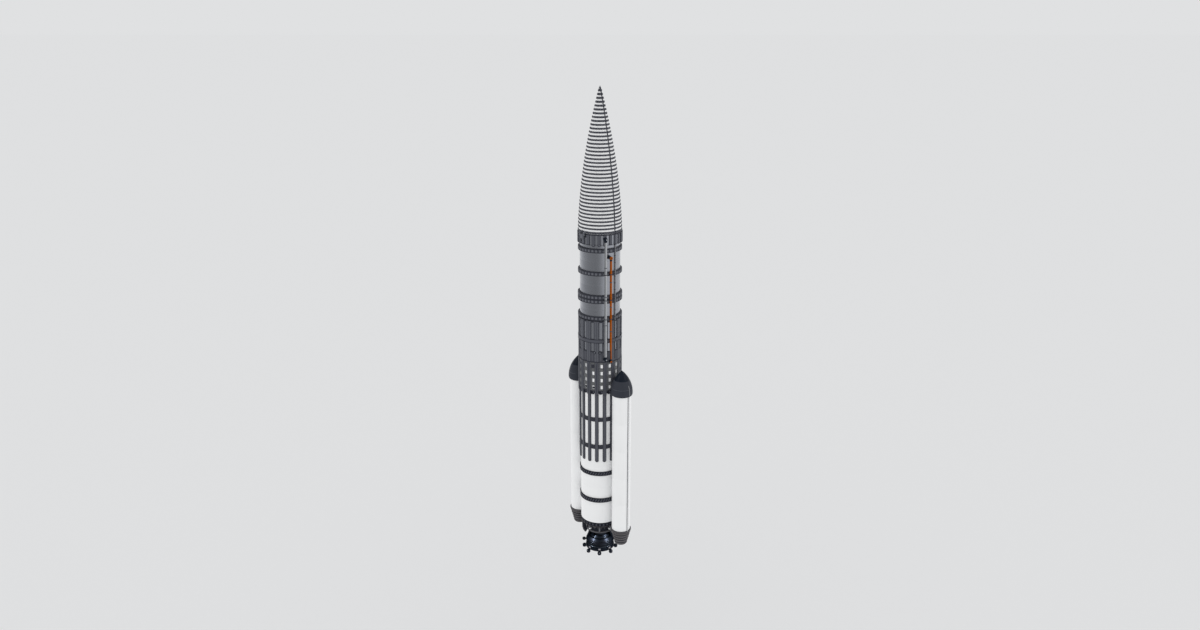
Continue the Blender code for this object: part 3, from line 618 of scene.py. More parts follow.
def window(shape, azimuth, row, z, inner, middle, width):
    """White in front with grey and darker strips of painted shade on the left, pale grey painted
    shade in place of white beside the front and at the back, dark with a boss at the sides, one
    closed by a plate, some with a port.
    """
    def pane(depth, wide, finish, offset):
        shape.block(azimuth, inner, LATTICE_FACE + depth, wide, z - WINDOW_HEIGHT / 2,
                    z + WINDOW_HEIGHT / 2, finish, offset)

    turned = (azimuth - FRONT_AZIMUTH + 180.0) % 360.0 - 180.0
    if row == 3 and -30.0 < turned < -12.0:
        pane(0.01, width, 4, middle)
    elif 55.0 < abs(turned) < 125.0:
        pane(-0.012, width, 0, middle)
        shape.bolt(azimuth, LATTICE_FACE - 0.014, z, 0.060, 0.016, 4, middle, 12)
    else:
        # Painted shade of the white core behind: pale grey instead of white away from the front,
        # and a grey and a darker slate strip on the left of the opening.
        pane(-0.012, 0.155, 7 if abs(turned) > 30.0 else 5, 0.0825)
        pane(-0.020, 0.055, 6, -0.020)
        pane(-0.016, 0.040, 2, -0.062)
        if row == 0 and -75.0 < turned < -12.0:
            shape.bolt(azimuth, LATTICE_FACE - 0.02, z - 0.02, 0.085, 0.045, 3, 0.085, 16)
            shape.bolt(azimuth, LATTICE_FACE + 0.02, z - 0.02, 0.040, 0.012, 4, 0.085, 16)


def ladder(shape, foot, top):
    """Two rails with rungs, up the side of each panel."""
    inner, middle = LATTICE_FACE - 0.01, (PANEL_LEFT + OPEN_LEFT) / 2
    shape.block(PANEL_AZIMUTHS, inner, LATTICE_FACE + 0.020, 0.018, foot, top, 2,
                [middle - 0.036, middle + 0.036])
    for z in middles(foot, top, 30):
        shape.block(PANEL_AZIMUTHS, inner, LATTICE_FACE + 0.014, 0.07, z - 0.012, z + 0.012, 2,
                    middle)


def scallop(shape, foot):
    """Dark brackets with round lower corners, between the strips at the lattice's foot."""
    half, shoulder = 0.175, foot + 0.15
    outline = [(half * c, shoulder - half * s * 0.8) for c, s in arc(12, 0.0, math.pi)]
    outline += [(-half, foot + 0.33), (half, foot + 0.33)]
    shape.plate(PANEL_AZIMUTHS, outline, 1.535, 1.652, 4)
    shape.bolt(PANEL_AZIMUTHS, 1.650, shoulder, 0.095, 0.022, 3, -0.075, 16)
    shape.block(PANEL_AZIMUTHS, 1.640, 1.664, 0.15, foot + 0.10, foot + 0.24, 3, -0.075)
    shape.bolt(PANEL_AZIMUTHS, 1.650, foot + 0.21, 0.045, 0.016, 0, 0.085, 12)


STRAP_Z = 15.06


def stringers():
    """Wide ridged strips, bare metal panels between them above the straps, and two hoops."""
    foot, top = heights("stringer_section")
    outer = trim_radius("stringer_section")
    face = 1.640
    flat = face * math.cos(math.pi / STRIP_COUNT)
    shape = Shape()
    wall = ((1.575, foot), (face, foot), (face, top), (1.575, top))
    shape.turn(wall, STRIP_COUNT, 1, STRIP_AZIMUTHS[0])
    shape.prism(STRIP_AZIMUTHS, hat(1.57, outer - 0.012, 0.425, 0.70, 0.068), foot, top)
    for middle in (-0.085, 0.085):
        ridge = [(outer - 0.02, middle - 0.028), (outer - 0.02, middle + 0.028),
                 (outer - 0.002, middle + 0.020), (outer - 0.002, middle - 0.020)]
        shape.prism(STRIP_AZIMUTHS, ridge, foot + 0.05, top - 0.05, 3)
    for inner, outside, width, low, high, finish, offset in (
            (flat - SKIN, 1.650, 0.36, foot, STRAP_Z - 0.03, 0, 0.0),
            (1.645, 1.656, 0.030, foot + 0.13, STRAP_Z - 0.07, 2, [-0.105, 0.105]),
            (flat - SKIN, 1.664, 0.34, STRAP_Z - 0.03, STRAP_Z + 0.04, 2, 0.0),
            (flat - SKIN, flat + 0.030, 0.26, top - 0.12, top, 2, 0.0)):
        shape.block(PANEL_AZIMUTHS, inner, outside, width, low, high, finish, offset)
    low, high = 15.785, 16.065
    shape.band(1.62, outer + 0.004, low, high)
    for low, high in ((low - 0.01, low + 0.035), (high - 0.035, high + 0.01), (14.235, 14.295)):
        shape.band(1.62, outer + 0.010, low, high, finish=2)
    bosses = (-57.5, -43.0, 122.5, 137.0)
    shape.bolt(bosses, outer - 0.02, STRAP_Z - 0.04, 0.110, 0.026, 4, 0.0, 24)
    shape.bolt(bosses, outer, STRAP_Z - 0.04, 0.060, 0.016, 3, 0.0, 24)
    raceway = [(1.60, -0.030), (1.60, 0.030), (1.675, 0.030), (1.684, 0.021), (1.684, -0.021),
               (1.675, -0.030)]
    shape.prism(0.0, raceway, foot + 0.25, top, 2)
    build(shape, "stringer_wall", "slate tube charcoal slate_light ink",
          "stringer_section")


# Upper stage


def upper_tank():
    foot, top = heights("upper_tank")
    radius = radius_of("upper_tank")
    joints = (18.35, 20.25, 22.05)
    shape = Shape()
    shape.turn(grooved(radius, foot, top, joints), 160)
    for z in (joint + 0.02 for joint in joints):
        shape.turn(((radius - 0.004, z - 0.02), (radius + 0.004, z), (radius - 0.004, z + 0.02)),
                   160)
    build(shape, "upper_tank_skin", "tube", "upper_tank")


def tank_ring(node, bands):
    """A dark ring with a row of lighter blocks on each band."""
    foot, top = heights(node)
    inner, outer = radius_of("upper_tank") - SKIN, radius_of(node)
    edges = steps(foot, top, bands)
    places = [azimuth for azimuth in around(36, FRONT_AZIMUTH)
              if abs((azimuth + 180.0) % 360.0 - 180.0) > 3.0]       # clear of the raceway
    shape = Shape()
    for band in range(bands):
        low = edges[band] + (0.008 if band else 0.0)
        high = edges[band + 1] - (0.008 if band < bands - 1 else 0.0)
        section = ((inner, low), (outer - 0.004, low), (outer - 0.004, low + 0.040),
                   (outer - 0.024, low + 0.048), (outer - 0.024, high - 0.048),
                   (outer - 0.004, high - 0.040), (outer - 0.004, high), (inner, high))
        shape.turn(rounded(section, 0.008, 2, True), 160)
        shape.block(places, outer - 0.04, outer - 0.004, 0.225, low + 0.052, high - 0.052, 1)
        shape.block(places, outer - 0.01, outer, 0.11, low + 0.080, high - 0.080, 2)
    build(shape, node + "_band", "charcoal slate slate_light", node)


def cable_raceway():
    foot, top = heights("cable_raceway")
    inner, outer = (corner.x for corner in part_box("cable_raceway"))
    section = [(inner, -0.035), (inner, 0.035), (outer - 0.012, 0.035), (outer, 0.023),
               (outer, -0.023), (outer - 0.012, -0.035)]
    shape = Shape()
    shape.prism(0.0, section, foot, top)
    for z in steps(foot + 0.3, top - 0.3, 10):
        shape.block(0.0, inner, outer + 0.006, 0.078, z - 0.02, z + 0.02, 1, chamfer=0.004)
    piece = build(shape, "raceway_cover", "cable slate", "cable_raceway")
    piece.visible_glossy = False     # no dark mirror image on the tank


def fairing_collar():
    """Wide dark ribs with plain feet on a bare metal wall, under a dark lip."""
    foot, top = heights("fairing_collar")
    wall, outer, width, rib_foot = 1.625, 1.688, 0.240, foot + 0.05
    ribs, bosses = around(24), [120.0, 135.0, 150.0, 300.0, 315.0, 330.0]
    shape = Shape()
    shape.turn([(AXIS_R, foot), (wall - 0.03, foot), (wall, foot + 0.03), (wall, top),
                (AXIS_R, top)], 160, 1)
    lip = ((wall - 0.01, top - 0.085), (outer + 0.002, top - 0.07), (outer + 0.002, top - 0.006),
           (wall - 0.01, top - 0.002))
    shape.turn(rounded(lip, 0.008, 2, True), 160, 2)
    shape.turn([(wall - 0.01, foot + 0.02), (wall + 0.012, foot + 0.03),
                (wall + 0.012, foot + 0.06), (wall - 0.01, foot + 0.07)], 160, 1)
    rib = [(wall - 0.02, -width / 2), (wall - 0.02, width / 2), (outer - 0.022, width / 2),
           (outer, width / 2 - 0.030), (outer, 0.030 - width / 2), (outer - 0.022, -width / 2)]
    edge = width / 2 - 0.004
    shape.prism(ribs, rib, rib_foot, top - 0.06)
    shape.block(ribs, wall - 0.01, outer - 0.020, 0.020, rib_foot, top - 0.06, 2, [-edge, edge])
    shape.block(ribs, outer - 0.01, outer + 0.002, 0.020, rib_foot + 0.06, top - 0.12, 3,
                [-0.055, 0.055])
    shape.block([azimuth for azimuth in ribs if azimuth not in bosses], wall - 0.01, outer,
                width + 0.01, rib_foot - 0.03, rib_foot + 0.035, 2)
    shape.bolt(bosses, wall - 0.01, rib_foot, 0.130, 0.074, 2, 0.0, 28)
    shape.bolt(bosses, wall + 0.055, rib_foot, 0.085, 0.014, 0, 0.0, 28)
    shape.bolt(bosses, wall + 0.060, rib_foot, 0.045, 0.012, 3, 0.0, 20)
    build(shape, "collar_flutes", "slate tube charcoal slate_light",
          "fairing_collar")


# Fairing


FAIRING_FOOT = heights("fairing_collar")[1] + MOVING_GAP
FAIRING_TIP = heights("fairing_half_left")[1]
FAIRING_R, FAIRING_BULGE, FAIRING_WALL = 1.60, 0.30, 0.06
FAIRING_HOLLOW = FAIRING_TIP - 0.90
RIB_COUNT = 39
RIB_FIRST, RIB_LAST = 24.26, 34.29
RIB_HEIGHT, RIB_DEPTH = 0.112, 0.050
HINGE_Y, HINGE_Z = 1.80, 24.05


def fairing_radius(z):
    share = (z - FAIRING_FOOT) / (FAIRING_TIP - FAIRING_FOOT)
    return max((1.0 - share) * (FAIRING_R + 4 * FAIRING_BULGE * share), 0.0)


class HalfShape(Shape):
    """A piece on one fairing half, with sign 1 on the half at +Y."""

    def __init__(self, sign):
        super().__init__()
        self.sign = sign
        self.start = 0.0 if sign > 0 else 180.0

    def half_turn(self, outline, sides, finish=0, edge=0.0):
        """Turns an outline through half a circle, less an edge at the split on either side."""
        gap = Vector((0.0, self.sign * MOVING_GAP / 2, 0.0))
        loops = [[] for _ in range(sides + 1)]
        for index, loop in enumerate(loops):
            for r, z in outline:
                skip = math.degrees(math.asin(min(edge / max(r, 0.02), 0.9)))
                azimuth = self.start + skip + (180.0 - 2 * skip) * index / sides
                loop.append(point_at(azimuth, r, z) + gap)
        self.sweep(loops, finish)

    def row(self, count):
        return middles(self.start, self.start + 180.0, count)


def fairing_half(side, sign):
    body = f"fairing_{side}"
    shape = HalfShape(sign)
    levels = steps(FAIRING_FOOT, FAIRING_HOLLOW, 60)
    for outer, inner, finish in ((0.0, 0.012, 0), (0.012, FAIRING_WALL, 1)):
        for low, high in zip(levels, levels[1:]):
            low_r, high_r = fairing_radius(low), fairing_radius(high)
            shape.half_turn([(low_r - outer, low), (high_r - outer, high),
                             (high_r - inner, high), (low_r - inner, low)], 80, finish)
    tip = [(fairing_radius(z), z) for z in steps(FAIRING_HOLLOW, FAIRING_TIP - 0.01, 24)]
    shape.half_turn([*tip, (AXIS_R, FAIRING_TIP - 0.004), (AXIS_R, FAIRING_HOLLOW)], 80)
    hinge_arms(shape)
    build(shape, f"fairing_shell_{side}", "fairing blanket slate_light",
          f"fairing_half_{side}", body)
    fairing_ribs(side, sign, body)

    frames = HalfShape(sign)
    for z in steps(FAIRING_FOOT + 0.10, FAIRING_FOOT + 8.26, 8):
        outer = fairing_radius(z + 0.05) - FAIRING_WALL + 0.004
        frames.half_turn([(outer - 0.045, z - 0.03), (outer + 0.01, z - 0.05), (outer, z + 0.05),
                          (outer - 0.045, z + 0.03)], 48, 0, 0.02)
    build(frames, f"fairing_frames_{side}", "tube", body=body)

    cap, foot = HalfShape(sign), FAIRING_TIP - 0.20
    cap.half_turn([(fairing_radius(foot) + 0.012, foot), (0.030, FAIRING_TIP - 0.05),
                   (0.022, FAIRING_TIP - 0.015), (0.002, FAIRING_TIP - 0.001),
                   (AXIS_R, foot)], 32)
    build(cap, f"fairing_tip_{side}", "slate", body=body)


def hinge_arms(shape):
    """Two arms from the shell's foot out over the hinge, each with a round eye."""
    foot, root, top, eye_r = FAIRING_FOOT + 0.012, 24.20, 24.298, 0.052
    arm = [(1.56, foot), (1.79, foot), (1.858, root), (1.858, root + 0.04), (1.80, top),
           (1.56, top)]
    eye = [(HINGE_Y + eye_r * c, HINGE_Z + eye_r * s) for c, s in arc(12, math.pi, math.pi)]
    eye += [(HINGE_Y + eye_r, root), (HINGE_Y - eye_r, root)]
    for x in (-0.19, 0.19):
        for outline, half in ((arm, 0.05), (eye, 0.038)):
            shape.sweep([[Vector((x + side, shape.sign * y, z)) for y, z in outline]
                         for side in (-half, half)], 2)


def fairing_ribs(side, sign, body):
    """Ribs with lighter blocks, small blocks round the foot and a flange along the split."""
    shape = HalfShape(sign)
    for index, z in enumerate(steps(RIB_FIRST, RIB_LAST, RIB_COUNT - 1)):
        tall = RIB_HEIGHT * (1.0 + 0.5 * (index / RIB_COUNT) ** 6)
        low, high = z - tall / 2, z + tall / 2
        base, foot_r, top_r = fairing_radius(z), fairing_radius(low), fairing_radius(high)
        section = [(foot_r - 0.01, low), (foot_r + RIB_DEPTH - 0.010, low),
                   (foot_r + RIB_DEPTH, low + 0.016), (top_r + RIB_DEPTH, high - 0.016),
                   (top_r + RIB_DEPTH - 0.010, high), (top_r - 0.01, high)]
        shape.half_turn(section, max(24, round(72 * base / FAIRING_R)), 2, 0.034)
        shape.block(shape.row(max(3, round(math.pi * base / 0.19))), base + RIB_DEPTH - 0.02,
                    base + RIB_DEPTH + 0.006, 0.125, z - 0.036, z + 0.036, chamfer=0.006)
    wall = fairing_radius(24.19)
    clear = [azimuth for azimuth in shape.row(54)
             if abs(azimuth % 180.0 - 90.0) > 9.0]       # of the hinge arms
    shape.block(clear, wall - 0.02, wall + 0.024, 0.062, FAIRING_FOOT + 0.004,
                FAIRING_FOOT + 0.062, 1, chamfer=0.004)
    for azimuth, inward in ((0.0, sign), (180.0, -sign)):
        near, far = MOVING_GAP / 2 * inward, 0.036 * inward
        levels = [(fairing_radius(z), z) for z in steps(FAIRING_FOOT, FAIRING_TIP - 0.10, 72)]
        shape.loft(azimuth, [[(r - 0.02, near, z), (r + 0.038, near, z),
                              (r + 0.038, far * 0.8, z), (r + 0.030, far, z),
                              (r - 0.02, far, z)] for r, z in levels], 2)
    build(shape, f"fairing_ribs_{side}", "slate slate_light charcoal", body=body)


def hinge_pins():
    shape = Shape()
    for y in (HINGE_Y, -HINGE_Y):
        for x, half, size, sides in ((0.0, 0.27, 0.026, 20), (-0.27, 0.012, 0.040, 6),
                                     (0.27, 0.012, 0.040, 6)):
            shape.tube([(x - half, y, HINGE_Z), (x + half, y, HINGE_Z)], size, sides)
    build(shape, "fairing_hinge_pins", "steel")


def adapter_bolts():
    """Bolts on the adapter's two flanges, and a dark clamp band round its top."""
    foot, top = heights("payload_adapter")
    shape = Shape()
    for count, radius, z in ((48, 1.285, foot + 0.08), (32, 0.66, top)):
        shape.rod(around(count), [(radius, z - 0.002, 0.014), (radius, z + 0.012, 0.014)], 6)
    shape.turn([(0.755, top - 0.065), (0.775, top - 0.06), (0.775, top - 0.02),
                (0.755, top - 0.015)], 96, 1)
    build(shape, "adapter_bolts", "steel charcoal")


# Outside pipes


PIPES = (
    # name, azimuth, distance, radius, radius and azimuth at the foot
    ("grey_pipe", -29.8, 1.84, 0.100, 0.100, -29.8),
    ("orange_pipe", -16.9, 1.83, 0.085, 0.052, -15.9),
)


def pipe(name, azimuth, distance, radius, foot_r, foot_azimuth):
    foot, top = heights(name)
    path = [(foot_azimuth, foot, foot_r), (azimuth, top, radius)]
    if foot_r < radius:
        change = foot + 0.73
        path[1:1] = [(foot_azimuth, change - 0.05, foot_r), (azimuth, change + 0.05, radius)]
    run = Shape()
    run.tube([point_at(turn, distance, z) for turn, z, _ in path], [r for *_, r in path], 32)
    for z in steps(foot + 0.3, top + 0.3, 4)[1:4]:
        run.rod(azimuth, [(distance, z + side * 0.03, radius + 0.010) for side in (-1, 1)], 32, 1)
    piece = build(run, name + "_run", name + " slate", name)
    piece.visible_glossy = False     # no dark mirror image on the tank

    brackets = Shape()
    for node in ("tank_ring_upper", "tank_ring_double", "tank_ring_lower"):
        z = sum(heights(node)) / 2
        brackets.block(azimuth, radius_of(node) - 0.02, distance, 0.05, z - 0.05, z + 0.05)
        brackets.upright(point_at(azimuth, distance, z),
                         [(radius - SKIN, -0.035), (radius + 0.012, -0.03),
                          (radius + 0.012, 0.03), (radius - SKIN, 0.035)])
    build(brackets, name + "_brackets", "charcoal")
    pipe_end(name, "top", azimuth, distance, radius, top + 0.2203, -1.0)
    pipe_end(name, "foot", foot_azimuth, distance, foot_r, foot - 0.2203, 1.0)


def pipe_end(name, place, azimuth, distance, radius, z, direction):
    """A round body on the wall, with a coloured end, and a collar that the pipe comes out of. On
    the grey pipe the end is a painted highlight, a light disc off the centre.
    """
    node = f"{name}_{place}_fitting"
    size, end = radius + 0.036, distance + radius + 0.03
    wall = 1.52 if node == "orange_pipe_top_fitting" else 1.64
    shape = Shape()
    shape.knob(azimuth, z, [(wall, size + 0.02), (wall + 0.04, size + 0.02), (wall + 0.045, size),
                            (end - 0.075, size), (end - 0.035, size * 0.97),
                            (end - 0.012, size * 0.86), (end - 0.004, size * 0.70)], 40)
    shape.rod(azimuth, [(distance, z + direction * rise, radius + more) for rise, more in
                        ((0.0, 0.018), (0.15, 0.018), (0.155, 0.006), (0.215, 0.004))], 32)
    if name == "orange_pipe":
        shape.knob(azimuth, z, [(end - 0.085, size + 0.004), (end - 0.060, size + 0.006),
                                (end - 0.020, size * 0.94), (end - 0.001, size * 0.80),
                                (end, size * 0.78)], 40, 1)
        shape.bolt(azimuth, end - 0.001, z, size * 0.30, 0.008, 0, 0.0, 20)
    else:
        # Painted highlight: a light disc set off the centre of the dark end.
        shape.bolt(azimuth, end - 0.006, z, size * 0.36, 0.014, 1, size * 0.34, 24)
    build(shape, node + "_body", "navy " + name, node)


def umbilical_sockets():
    """Round sockets on the connector plate."""
    low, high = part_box("umbilical_plate")
    shape = Shape()
    rows = [low.z + rise for rise in (0.16, 0.40, 0.64)]
    shape.bolt(90.0, high.y - 0.004, rows, 0.085, 0.004, 0, [-0.13, 0.13], 24)
    shape.bolt(90.0, high.y - 0.003, rows, 0.060, 0.004, 1, [-0.13, 0.13], 24)
    build(shape, "umbilical_sockets", "steel navy")


# Boosters


CAP_R, CAP_SHOULDER, CAP_TIP = 0.84, 11.90, 13.65
CORE_CLEARANCE_R = 1.715


def cap_radius(z):
    length = CAP_TIP - CAP_SHOULDER
    curve = (CAP_R ** 2 + length ** 2) / (2 * CAP_R)
    rise = min(z - CAP_SHOULDER, length - 0.0001)
    return max(math.sqrt(curve ** 2 - rise ** 2) - (curve - CAP_R), AXIS_R)


def cap_outline(foot, top):
    return [(cap_radius(z), z) for z in steps(foot, top, 24)]


def booster(side, sign):
    name, centre, white = f"booster_{side}_", sign * BOOSTER_X, f"white_{side}"
    foot, top = heights(name + "casing")
    radius = radius_of(name + "casing")
    shell = Shape(centre)
    shell.turn(grooved(radius, foot, top, steps(foot, top, 5)[1:5], 0.002, 0.006), 128)
    build(shell, name + "shell", white, name + "casing")
    booster_cap(name, centre)
    booster_raceway(name, centre, radius, white)
    booster_skirt(name, centre)

    foot, top = heights(name + "nose_tip")
    tip = Shape(centre)
    tip.turn([(AXIS_R, foot), *cap_outline(foot, top - 0.02), (0.012, top - 0.003),
              (AXIS_R, top)])
    build(tip, name + "tip", "navy", name + "nose_tip")

    foot, top = heights(name + "nozzle")
    outline = [(AXIS_R, top), (0.20, top), (0.20, top - 0.06), (0.16, top - 0.12),
               (0.20, top - 0.20), (0.26, top - 0.30), (0.32, top - 0.42), (0.37, foot),
               (0.345, foot), (0.30, top - 0.42), (0.235, top - 0.30), (0.17, top - 0.19),
               (0.13, top - 0.12), (AXIS_R, top - 0.10)]
    cone = Shape(centre)
    cone.turn(rounded(outline, 0.02))
    cone.turn([(0.368, foot + 0.002), (0.380, foot + 0.01), (0.372, foot + 0.03)])
    build(cone, name + "nozzle_cone", "engine", name + "nozzle")


def booster_cap(name, centre):
    """The cap, cut back where the core's lattice stands, and a seam round it."""
    foot, top = heights(name + "nose_skirt")
    shape = Shape(centre)
    shape.turn([(AXIS_R, foot), (0.74, foot), (0.775, foot + 0.015), (0.812, foot + 0.06),
                (0.832, foot + 0.13), *cap_outline(CAP_SHOULDER, top), (AXIS_R, top)])
    cap = build(shape, name + "cap", "cap", name + "nose_skirt")
    room = Shape()
    room.band(AXIS_R, CORE_CLEARANCE_R, foot - 1.0, CAP_TIP + 1.0, 160)
    mesh = bpy.data.meshes.new("core_room")
    mesh.from_pydata(room.points, [], room.faces)
    cutter = bpy.data.objects.new("core_room", mesh)
    bpy.context.scene.collection.objects.link(cutter)
    cut = cap.modifiers.new("core_room", "BOOLEAN")
    cut.operation = "DIFFERENCE"
    cut.object = cutter
    graph = bpy.context.evaluated_depsgraph_get()
    made = bpy.data.meshes.new_from_object(cap.evaluated_get(graph))
    cap.modifiers.clear()
    cap.data = made
    mark_edges(made)
    bpy.data.objects.remove(cutter)

    z = 12.29
    r = cap_radius(z)
    seam = Shape(centre)
    seam.turn([(r - 0.01, z - 0.016), (r + 0.006, z - 0.012), (r + 0.004, z + 0.012),
               (r - 0.01, z + 0.016)], 96, 0, 62.0 if centre < 0 else -118.0, 236.0)
    build(seam, name + "cap_joint", "slate")


def booster_raceway(name, centre, radius, white):
    """A white cable cover between two dark strips of painted shade, down the outboard side and up
    on the cap.
    """
    foot, top = heights(name + "raceway")
    azimuth = 0.0 if centre > 0 else 180.0
    inner, proud = radius - 0.004, radius + 0.053
    shape = Shape(centre)
    shape.prism(azimuth, [(inner, -0.036), (inner, 0.036), (proud - 0.012, 0.036),
                          (proud, 0.026), (proud, -0.026), (proud - 0.012, -0.036)], foot, top)
    # Painted shade: dark slate strips along both sides of the cover.
    shape.block(azimuth, inner, radius + 0.046, 0.024, foot, top, 1, [-0.043, 0.043])
    for z in steps(foot + 0.4, top - 0.4, 13):
        shape.block(azimuth, radius, radius + 0.055, 0.088, z - 0.018, z + 0.018, chamfer=0.004)
    sections = []
    rows = 16
    for index, z in enumerate(steps(CAP_SHOULDER - 0.10, CAP_SHOULDER + 0.70, rows)):
        base = cap_radius(max(z, CAP_SHOULDER))
        face = base + 0.030 * min(1.0, (rows - index) / 4 + 0.15)
        sections.append([(base - 0.02, -0.032, z), (base - 0.02, 0.032, z), (face, 0.026, z),
                         (face, -0.026, z)])
    shape.loft(azimuth, sections, 2)
    build(shape, name + "raceway_cover", white + " slate cable",
          name + "raceway")


def booster_skirt(name, centre):
    """A flared lip over five rounded bands with dark grooves between them."""
    foot, top = heights(name + "aft_skirt")
    lip_r, lip_foot, bands = 0.812, 0.08, 5
    first, last = 0.765, 0.520   # outer radius of the bands
    shape = Shape(centre)
    shape.turn([(AXIS_R, top), (0.729, top), (0.775, top - 0.004), (lip_r - 0.03, top - 0.02),
                (lip_r - 0.03, lip_foot + 0.01), (first - 0.060, lip_foot - 0.01),
                (last - 0.075, foot + 0.01), (last - 0.09, foot), (0.42, foot),
                (0.42, foot + 0.55), (AXIS_R, foot + 0.55)], 96, 1)
    shape.turn([(0.76, top - 0.004), (lip_r - 0.01, top - 0.010), (lip_r, top - 0.02),
                (lip_r, lip_foot + 0.04), (lip_r - 0.01, lip_foot + 0.03),
                (0.76, lip_foot + 0.03)], 96, 3)
    edges = steps(lip_foot, foot, bands)
    for index, radius in enumerate(steps(first, last, bands - 1)):
        low, high = edges[index + 1] + 0.060, edges[index] - 0.045
        ring = ((radius - 0.12, low), (radius - 0.030, low), (radius - 0.010, low + 0.05),
                (radius - 0.002, high - 0.03), (radius - 0.012, high), (radius - 0.12, high))
        shape.turn(rounded(ring, 0.012, 2, True), 96, 3)
        shape.block(around(30 - 3 * index), radius - 0.04, radius + 0.001, 0.05, low + 0.040,
                    high - 0.030, 2 if index % 2 else 0, chamfer=0.004)
    shape.turn([(lip_r - 0.02, top - 0.012), (lip_r, top - 0.02), (lip_r, top - 0.05),
                (lip_r - 0.02, top - 0.055)], 96, 2)
    shape.bolt(around(40), lip_r, (top + lip_foot) / 2, 0.014, 0.004, 2)
    build(shape, name + "skirt", "brown ink slate skirt", name + "aft_skirt")


# Tail


GIMBAL_Z = -0.66


def aft_band():
    foot, top = heights("aft_ring")
    radius = radius_of("core_tank") - 0.025
    shape = Shape()
    body = ((AXIS_R, 0.02), (radius - 0.03, 0.02), (radius - 0.03, 0.06), (radius, 0.08),
            (radius, 0.12), (radius - 0.045, 0.14), (radius - 0.045, top - 0.09),
            (radius, top - 0.07), (radius, top), (AXIS_R, top))
    shape.turn(rounded(body, 0.008, 2), 160)
    bays = around(32, FRONT_AZIMUTH)
    shape.block(bays, radius - 0.06, radius - 0.002, 0.17, 0.135, top - 0.085, 1, chamfer=0.02)
    shape.bolt(bays, radius - 0.006, 0.25, 0.045, 0.012, 2, 0.0, 12)
    shape.turn([(radius - 0.02, 0.055), (radius + 0.004, 0.065), (radius + 0.004, 0.105),
                (radius - 0.02, 0.115)], 160, 3)
    shape.block([60.0, 120.0, -120.0, -60.0], 1.34, 1.52, 0.22, foot, 0.10, 3, chamfer=0.006)
    build(shape, "aft_band", "ink charcoal slate brown", "aft_ring")


def thrust_frame():
    """A flange, six posts, the ring that carries the gimbal, and a dark drum inside them."""
    inner, outer, core_foot = 0.98, 1.10, 0.0185
    foot, top = GIMBAL_Z - 0.075, GIMBAL_Z + 0.075
    shape = Shape()
    shape.band(inner, outer, foot, top, edge=0.014)
    shape.band(outer - 0.01, outer + 0.012, GIMBAL_Z - 0.02, GIMBAL_Z + 0.02, finish=1)
    shape.band(1.10, 1.29, -0.10, core_foot, edge=0.012)
    drum = ((AXIS_R, core_foot), (0.96, core_foot), (0.97, -0.30), (0.90, -0.44), (AXIS_R, -0.46))
    shape.turn(rounded(drum, 0.03), 96, 3)
    shape.band(0.99, 1.055, top, core_foot, 96, 3)
    shape.block(around(24, 7.5), 1.05, 1.068, 0.05, -0.40, -0.14)
    for azimuth in (-45.0, 0.0, 90.0, 135.0, 180.0, -90.0):
        start, end = point_at(azimuth, 1.24, -0.05), point_at(azimuth, 1.04, GIMBAL_Z)
        along = (end - start).normalized()
        sleeves_with_painted_glint_and_shade = [(0.12, 0.035, 0.088, 24, 0), (0.92, 0.035, 0.088, 24, 0)]
        # At each quarter: a white sleeve as a painted highlight where glints show, and a black
        # sleeve of painted shade below it.
        if azimuth % 90.0 == 0.0:
            sleeves_with_painted_glint_and_shade += [(0.62, 0.050, 0.098, 32, 2), (0.77, 0.055, 0.096, 24, 3)]
        shape.tube([start, end], 0.066, 24, 1)
        for share, half, size, sides, finish in sleeves_with_painted_glint_and_shade:
            middle = start.lerp(end, share)
            shape.tube([middle - along * half, middle + along * half], size, sides, finish)
    shape.bolt(around(40, 4.5), 1.29, -0.045, 0.016, 0.010, 1)
    build(shape, "frame_truss", "brown slate_light fairing ink", "thrust_frame")


def exhaust_duct(side, azimuth):
    """A bent duct with four bands, and a ribbed plate between it and the frame."""
    bend = ((1.385, 0.0195), (1.385, -0.62), (1.355, -0.84), (1.27, -1.04), (1.16, -1.18))
    path = rounded([point_at(azimuth, r, z) for r, z in bend], 0.16, 5)
    shape = Shape()
    shape.tube(path, 0.080, 32, 1)
    for index in (0, 7, 13, len(path) - 2):
        start, end = Vector(path[index]), Vector(path[index + 1])
        shape.tube([start, start + (end - start).normalized() * 0.05], 0.094, 32)
    plate = [(1.12, -0.02), (1.34, -0.02), (1.34, -0.62), (1.31, -0.81), (1.22, -0.99),
             (1.13, -1.11), (1.10, -1.10), (1.04, -1.00), (0.955, -0.90), (0.955, -0.76),
             (1.12, -0.76)]
    shape.slab(azimuth, plate, 0.09, 2)
    for foot in (-0.60, -0.30):
        rib = [(1.14, foot), (1.33, foot), (1.33, foot + 0.05), (1.14, foot + 0.05)]
        shape.slab(azimuth, rib, 0.12, 1)
    build(shape, f"exhaust_duct_{side}_tube", "brown charcoal ink",
          f"exhaust_duct_{side}")


def gimbal_ring():
    shape = Shape()
    shape.band(0.83, 0.92, GIMBAL_Z - 0.07, GIMBAL_Z + 0.07, edge=0.012)
    shape.knob([0.0, 180.0], GIMBAL_Z, [(0.90, 0.045), (1.08, 0.045)], 24, 1)
    shape.knob([0.0, 180.0], GIMBAL_Z, [(0.90, 0.065), (0.94, 0.065)])
    shape.knob([90.0, -90.0], GIMBAL_Z, [(0.70, 0.045), (0.85, 0.045)], 24, 1)
    build(shape, "gimbal_ring_forging", "slate_light steel", "gimbal_ring",
          "gimbal")


